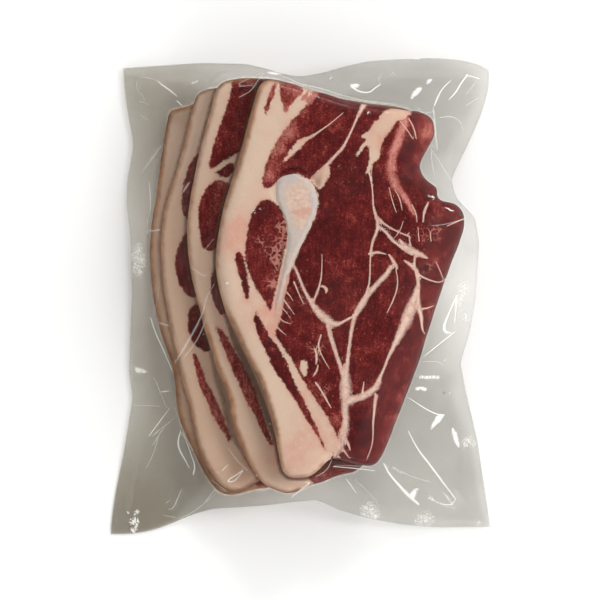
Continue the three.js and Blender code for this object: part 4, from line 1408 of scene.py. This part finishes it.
class CHOPS_OT_pouch(bpy.types.Operator):
    """Adds the pouch: a creased top sheet and an underside, welded round the edge"""

    bl_idname = "chops.pouch"
    bl_label = "Vacuum pouch"

    NO_MEAT = -1.0        # height given where no meat is under the sheet
    NO_MEAT_ABOVE = 1e3   # and where none is over the underside
    SHEETS_APART = .3     # millimetres between the two sheets of the flange
    FILM_INSET = .5       # millimetres that each sheet lies inside the solid's faces
    LOWEST = .05          # millimetres from the floor to the underside
    FOLD_REACH = 24.0     # millimetres from the meat that slight folds fade over
    SOFTENING = 10        # rounds that soften the flange's slopes
    MEAT_SOFTENING = 40   # rounds that take the meat's outline out to where film is slack
    MOST_DIP = .6         # millimetres that slack film may sink between meat and flange
    GROWTH = 60           # cells from the meat up to which distances are measured
    RING = 90.0           # radius in millimetres of the ring that folds are spread round
    FOLD_LENGTH = 8.0     # how much longer such folds are than wide
    SLIGHT_FOLD = .3      # millimetres that they rise
    HAZE = .05            # milkiness of the flange, and more at the welds
    GLEAM_REACH = 6.0     # millimetres round a crumpled patch that are measured

    def execute(self, context):
        self.settings = context.scene.chop_film
        low, high = (np.array(corner) for corner in CAD_BOX)
        self.size = (high - low) / MM
        half = np.round((high - low)[:2] / detail_now(self.settings.detail) / 2).astype(int)
        self.counts = 2 * half + 1
        self.cell = self.size[0] / self.counts[0]
        self.pouch_map = PouchMap()
        self.solid = PouchSolid()
        meat = [o for o in bpy.data.objects if o.name.startswith(MEAT_PREFIX)]
        self.meat = [surface_tree(o) for o in meat]
        top, shares = add_sheet("pouch_film", self.counts)
        self.shape_top(top, shares)
        underside, _ = add_sheet("pouch_underside", half + 1)
        self.shape_underside(underside)
        self.weld(top, underside)
        finish_piece(top, ["vacuum_pouch"], film_material(self.settings))
        return {"FINISHED"}

    def on_edge(self, shares):
        """Whether each vertex lies on the pouch's edge."""
        return np.minimum(shares, 1 - shares).min(1) < 1e-6

    def flange_heights(self, shares, way):
        """Height of one of the sheets off the meat: way is 1 for the upper and -1 for the
        lower one. On the pouch's edge both are at mid-height."""
        middle = sampled(self.middle, shares)
        spread = np.maximum(self.SHEETS_APART / 2, sampled(self.half, shares) - self.FILM_INSET)
        return middle + np.where(self.on_edge(shares), 0, way * spread)

    def waves(self, flat, away):
        """Slow waves of the whole flange."""
        waves = lattice_noise(flat, 24.0, 23) + .35 * lattice_noise(flat, 10.0, 24)
        return .5 * self.settings.crease_depth * waves * smooth_step(away, 2, 14)

    def shape_top(self, obj, shares):
        settings = self.settings
        index = np.round(shares * (self.counts - 1)).astype(int)
        order = (index[:, 0], index[:, 1])

        def grid(values):
            sheet = np.empty(tuple(self.counts))
            sheet[order] = values
            return sheet

        flat = self.pouch_map(shares)
        over = grid(ray_heights(self.meat, flat, True, self.NO_MEAT))
        covered = over > 0
        upper = softened(grid(self.solid.heights(flat, True)), self.SOFTENING)
        lower = softened(grid(self.solid.heights(flat, False)), self.SOFTENING)
        self.middle, self.half = (upper + lower) / 2, (upper - lower) / 2
        flange = grid(self.flange_heights(shares, 1))
        cling = settings.cling / MM
        draped = np.max([over, *shifted(over, STRAIGHT)], axis=0)
        draped = np.where(draped > 0, np.maximum(draped + cling, flange), flange)
        draped = softened(draped, 2)
        lowest = np.maximum(over + cling, draped - self.MOST_DIP)
        obstacle = np.where(covered, lowest, self.NO_MEAT)
        near_meat = softened(covered.astype(float), self.MEAT_SOFTENING) > .02
        free = near_meat & (grid(self.on_edge(shares)) < .5)
        heights = tightened(draped, obstacle, free, settings.bridging)
        self.away = self.distance_from(covered)
        self.margin = smooth_step(softened((~covered).astype(float), 3), .3, .9)

        margin, away = self.margin[order], self.away[order]
        waves = self.waves(flat, away)
        rise = heights[order] + waves + self.folds(flat, margin, away)
        rise = np.where(self.on_edge(shares), flange[order] + waves, rise)
        place_all(obj, np.column_stack([flat, np.maximum(rise, 2 * self.LOWEST)]))
        self.keep_film_attributes(obj, flat, shares, margin)

    def distance_from(self, covered):
        """Rough distance in millimetres from the meat's outline, by growing outwards."""
        away = np.where(covered, 0.0, 1e3)
        for _ in range(self.GROWTH):
            straight = np.min(shifted(away, STRAIGHT), axis=0) + self.cell
            slanted = np.min(shifted(away, SLANTED), axis=0) + math.sqrt(2) * self.cell
            away = np.minimum(away, np.minimum(straight, slanted))
        return away

    def folds(self, flat, margin, away):
        """Height of the named folds, and of slight ones that run out from the meat."""
        depth = self.settings.crease_depth
        rise = np.zeros(len(flat))
        for points, height, half_width in FOLDS:
            line = [(x, y, 2 * half_width) for x, y in points]
            across, near = line_field(flat, [from_photo(line, FILM_FACE)], 3.0, False)
            ridge = np.exp(-(1.4 * np.abs(across)) ** 1.6) * near
            rise += depth * height * ridge * np.maximum(margin, .25)
        turn = np.arctan2(flat[:, 1], flat[:, 0])
        ring = np.column_stack([self.RING * np.cos(turn), self.RING * np.sin(turn),
                                away / self.FOLD_LENGTH])
        coarse = 1 - np.abs(lattice_noise(ring, 16.0, 22)) * 2
        fade = np.exp(-away / self.FOLD_REACH) * smooth_step(away, .5, 4.0)
        return rise + depth * margin * fade * self.SLIGHT_FOLD * coarse

    def keep_film_attributes(self, obj, flat, shares, margin, shown=1.0):
        """What the film's material reads. `shown` is 0 where a sheet is bare: the underside
        is, but for its edge, so the grey of both sheets is in the upper one."""
        seal = self.settings.seal_width / MM
        side = np.minimum(shares[:, 0], 1 - shares[:, 0]) * self.size[0]
        end = (1 - shares[:, 1]) * self.size[1]
        weld = .03 * smooth_step(side, seal, seal - .8)
        weld += .05 * np.exp(-((side - seal) / .5) ** 2)
        weld += .05 * np.exp(-((end - seal) / .6) ** 2)
        keep_attribute(obj, "margin", margin)
        keep_attribute(obj, "haze", smooth_step(margin, .4, 1.0) * (self.HAZE + weld) * shown)
        for name, lines in (("white", HIGHLIGHT_CREASES), ("faint", FAINT_HIGHLIGHT_CREASES)):
            lines = [from_photo(line, FILM_FACE) for line in lines]
            across, near = line_field(flat, lines, 2.5)
            keep_attribute(obj, name, across)
            keep_attribute(obj, name + "_near", near * shown)
        reach = self.GLEAM_REACH
        depths = [area_depth(flat, from_photo(line, FILM_FACE), reach) for line in GLEAMS]
        keep_attribute(obj, "gleam", (np.max(depths, axis=0) + reach) * shown - reach)
        keep_attribute(obj, "glitter", soft_spots(flat, GLITTER, FILM_FACE) * shown)
        tone = (FLANGE_TONE + soft_spots(flat, FLANGE_TONES, FILM_FACE)) * shown
        # The two sheets share the vertices of the edge, so each has half of the grey there.
        keep_attribute(obj, "film_tone", np.where(self.on_edge(shares), tone / 2, tone))

    def shape_underside(self, obj):
        """The lower sheet, whose edges get a vertex halfway, to meet the finer top sheet."""
        select_only(obj)
        bpy.ops.object.mode_set(mode="EDIT")
        bpy.ops.mesh.select_all(action="SELECT")
        bpy.ops.mesh.flip_normals()
        bpy.ops.mesh.region_to_loop()
        bpy.ops.mesh.subdivide(number_cuts=1, quadcorner="INNERVERT")
        bpy.ops.object.mode_set(mode="OBJECT")
        shares = shares_of(obj)
        flat = self.pouch_map(shares)
        away = sampled(self.away, shares)
        under = ray_heights(self.meat, flat, False, self.NO_MEAT_ABOVE)
        flange = self.flange_heights(shares, -1)
        clinging = under - self.settings.cling / MM
        heights = np.where(under < self.NO_MEAT_ABOVE, clinging, flange)
        heights += self.waves(flat, away)
        on_edge = self.on_edge(shares)
        lowest = np.where(on_edge, 2 * self.LOWEST, self.LOWEST)
        place_all(obj, np.column_stack([flat, np.maximum(heights, lowest)]))
        shown = on_edge.astype(float)
        self.keep_film_attributes(obj, flat, shares, shown, shown)

    def weld(self, top, underside):
        select_only(top)
        underside.select_set(True)
        bpy.ops.object.join()
        bpy.ops.object.mode_set(mode="EDIT")
        bpy.ops.mesh.select_all(action="SELECT")
        bpy.ops.mesh.remove_doubles(threshold=.02 * MM)
        bpy.ops.object.mode_set(mode="OBJECT")


# ---- The stage ----------------------------------------------------------------------

class CHOPS_OT_stage(bpy.types.Operator):
    """Adds the floor, the soft studio light and the camera"""

    bl_idname = "chops.stage"
    bl_label = "Stage"

    # Each lamp: place and size in metres, and power in watts. They stand to the sides, so
    # the flat film shows no lamp and only its creases catch them.
    LAMPS = {
        "right_box": ((1.6, .3, 1.5), (.6, .8), 32),
        "upper_box": ((.5, 1.6, 1.4), (.4, .3), 16),
        "lower_box": ((.4, -1.7, 1.2), (.4, .2), 8),
    }
    UNREFLECTED = ("right_box",)  # it would show as a large blot on the slopes of the film
    FLOOR_DROP = .0002  # metres from the pack's lowest place down to the floor

    def execute(self, context):
        settings = context.scene.chop_stage
        bpy.ops.object.select_all(action="DESELECT")
        bpy.ops.mesh.primitive_plane_add(size=settings.floor_size,
                                         location=(0, 0, -self.FLOOR_DROP))
        floor = context.object
        floor.name = "floor"
        floor.data.materials.append(floor_material())
        for name, (place, (wide, deep), power) in self.LAMPS.items():
            self.add_lamp(name, Vector(place), wide, deep, power * settings.lamps)
        self.light_sky(settings.sky)
        self.add_camera(settings)
        context.scene.view_settings.view_transform = "Standard"
        return {"FINISHED"}

    def add_lamp(self, name, place, wide, deep, power):
        light = bpy.data.lights.new(name, "AREA")
        light.shape = "RECTANGLE"
        light.size = wide
        light.size_y = deep
        light.energy = power
        lamp = bpy.data.objects.new(name, light)
        lamp.location = place
        lamp.rotation_euler = (-place).to_track_quat("-Z", "Y").to_euler()
        lamp.visible_glossy = name not in self.UNREFLECTED
        bpy.context.scene.collection.objects.link(lamp)

    def light_sky(self, strength):
        """A white tent, open at the top, where the camera looks in: film that lies flat
        reflects the dark opening."""
        world = bpy.data.worlds.new("Soft white tent")
        world.use_nodes = True
        tree = world.node_tree
        background = tree.nodes["Background"]
        direction = add_node(tree, "ShaderNodeTexCoord").outputs["Generated"]
        upwards = add_node(tree, "ShaderNodeSeparateXYZ", {"Vector": direction}).outputs["Z"]
        opening = remapped(tree, upwards, .78, .93)
        colour = blended(tree, opening, linear("#fdfdfc"), linear("#2b2b2b"))
        sideways = add_node(tree, "ShaderNodeSeparateXYZ", {"Vector": direction}).outputs["X"]
        shade = remapped(tree, sideways, -.6, .2, .5, 0.0)
        colour = blended(tree, shade, colour, linear("#262626"))
        tree.links.new(colour, background.inputs["Color"])
        background.inputs["Strength"].default_value = strength
        bpy.context.scene.world = world

    def add_camera(self, settings):
        data = bpy.data.cameras.new("camera")
        height = settings.camera_height
        data.sensor_width = SENSOR
        data.lens = SENSOR * height / (PHOTO_PIXELS * PIXEL * MM)
        data.clip_end = 20
        camera = bpy.data.objects.new("camera", data)
        middle = PHOTO_PIXELS / 2
        camera.location = ((middle - PHOTO_ORIGIN[0]) * PIXEL * MM,
                           (PHOTO_ORIGIN[1] - middle) * PIXEL * MM, height)
        bpy.context.scene.collection.objects.link(camera)
        bpy.context.scene.camera = camera


# ---- The panel ----------------------------------------------------------------------

PIECE_OPERATORS = (CHOPS_OT_chops, CHOPS_OT_cartilage, CHOPS_OT_pouch, CHOPS_OT_stage)
SETTING_GROUPS = {"chop_meat": MeatSettings, "chop_film": FilmSettings,
                  "chop_stage": StageSettings}


class CHOPS_PT_panel(bpy.types.Panel):
    """Lists the pack's pieces and settings"""

    bl_idname = "CHOPS_PT_panel"
    bl_label = "Pack of pork chops"
    bl_space_type = "VIEW_3D"
    bl_region_type = "UI"
    bl_category = "Chops"

    def draw(self, context):
        for operator in PIECE_OPERATORS:
            self.layout.operator(operator.bl_idname)
        for group in SETTING_GROUPS:
            box = self.layout.box()
            settings = getattr(context.scene, group)
            for name in SETTING_GROUPS[group].__annotations__:
                box.prop(settings, name)


def register():
    for cls in (*SETTING_GROUPS.values(), *PIECE_OPERATORS, CHOPS_PT_panel):
        bpy.utils.register_class(cls)
    for name, cls in SETTING_GROUPS.items():
        setattr(bpy.types.Scene, name, bpy.props.PointerProperty(type=cls))


def unregister():
    for name in SETTING_GROUPS:
        delattr(bpy.types.Scene, name)
    for cls in reversed((*SETTING_GROUPS.values(), *PIECE_OPERATORS, CHOPS_PT_panel)):
        bpy.utils.unregister_class(cls)


def main():
    register()
    bpy.ops.chops.chops()
    bpy.ops.chops.cartilage()
    bpy.ops.chops.pouch()
    bpy.ops.chops.stage()


if __name__ == "__main__":
    main()
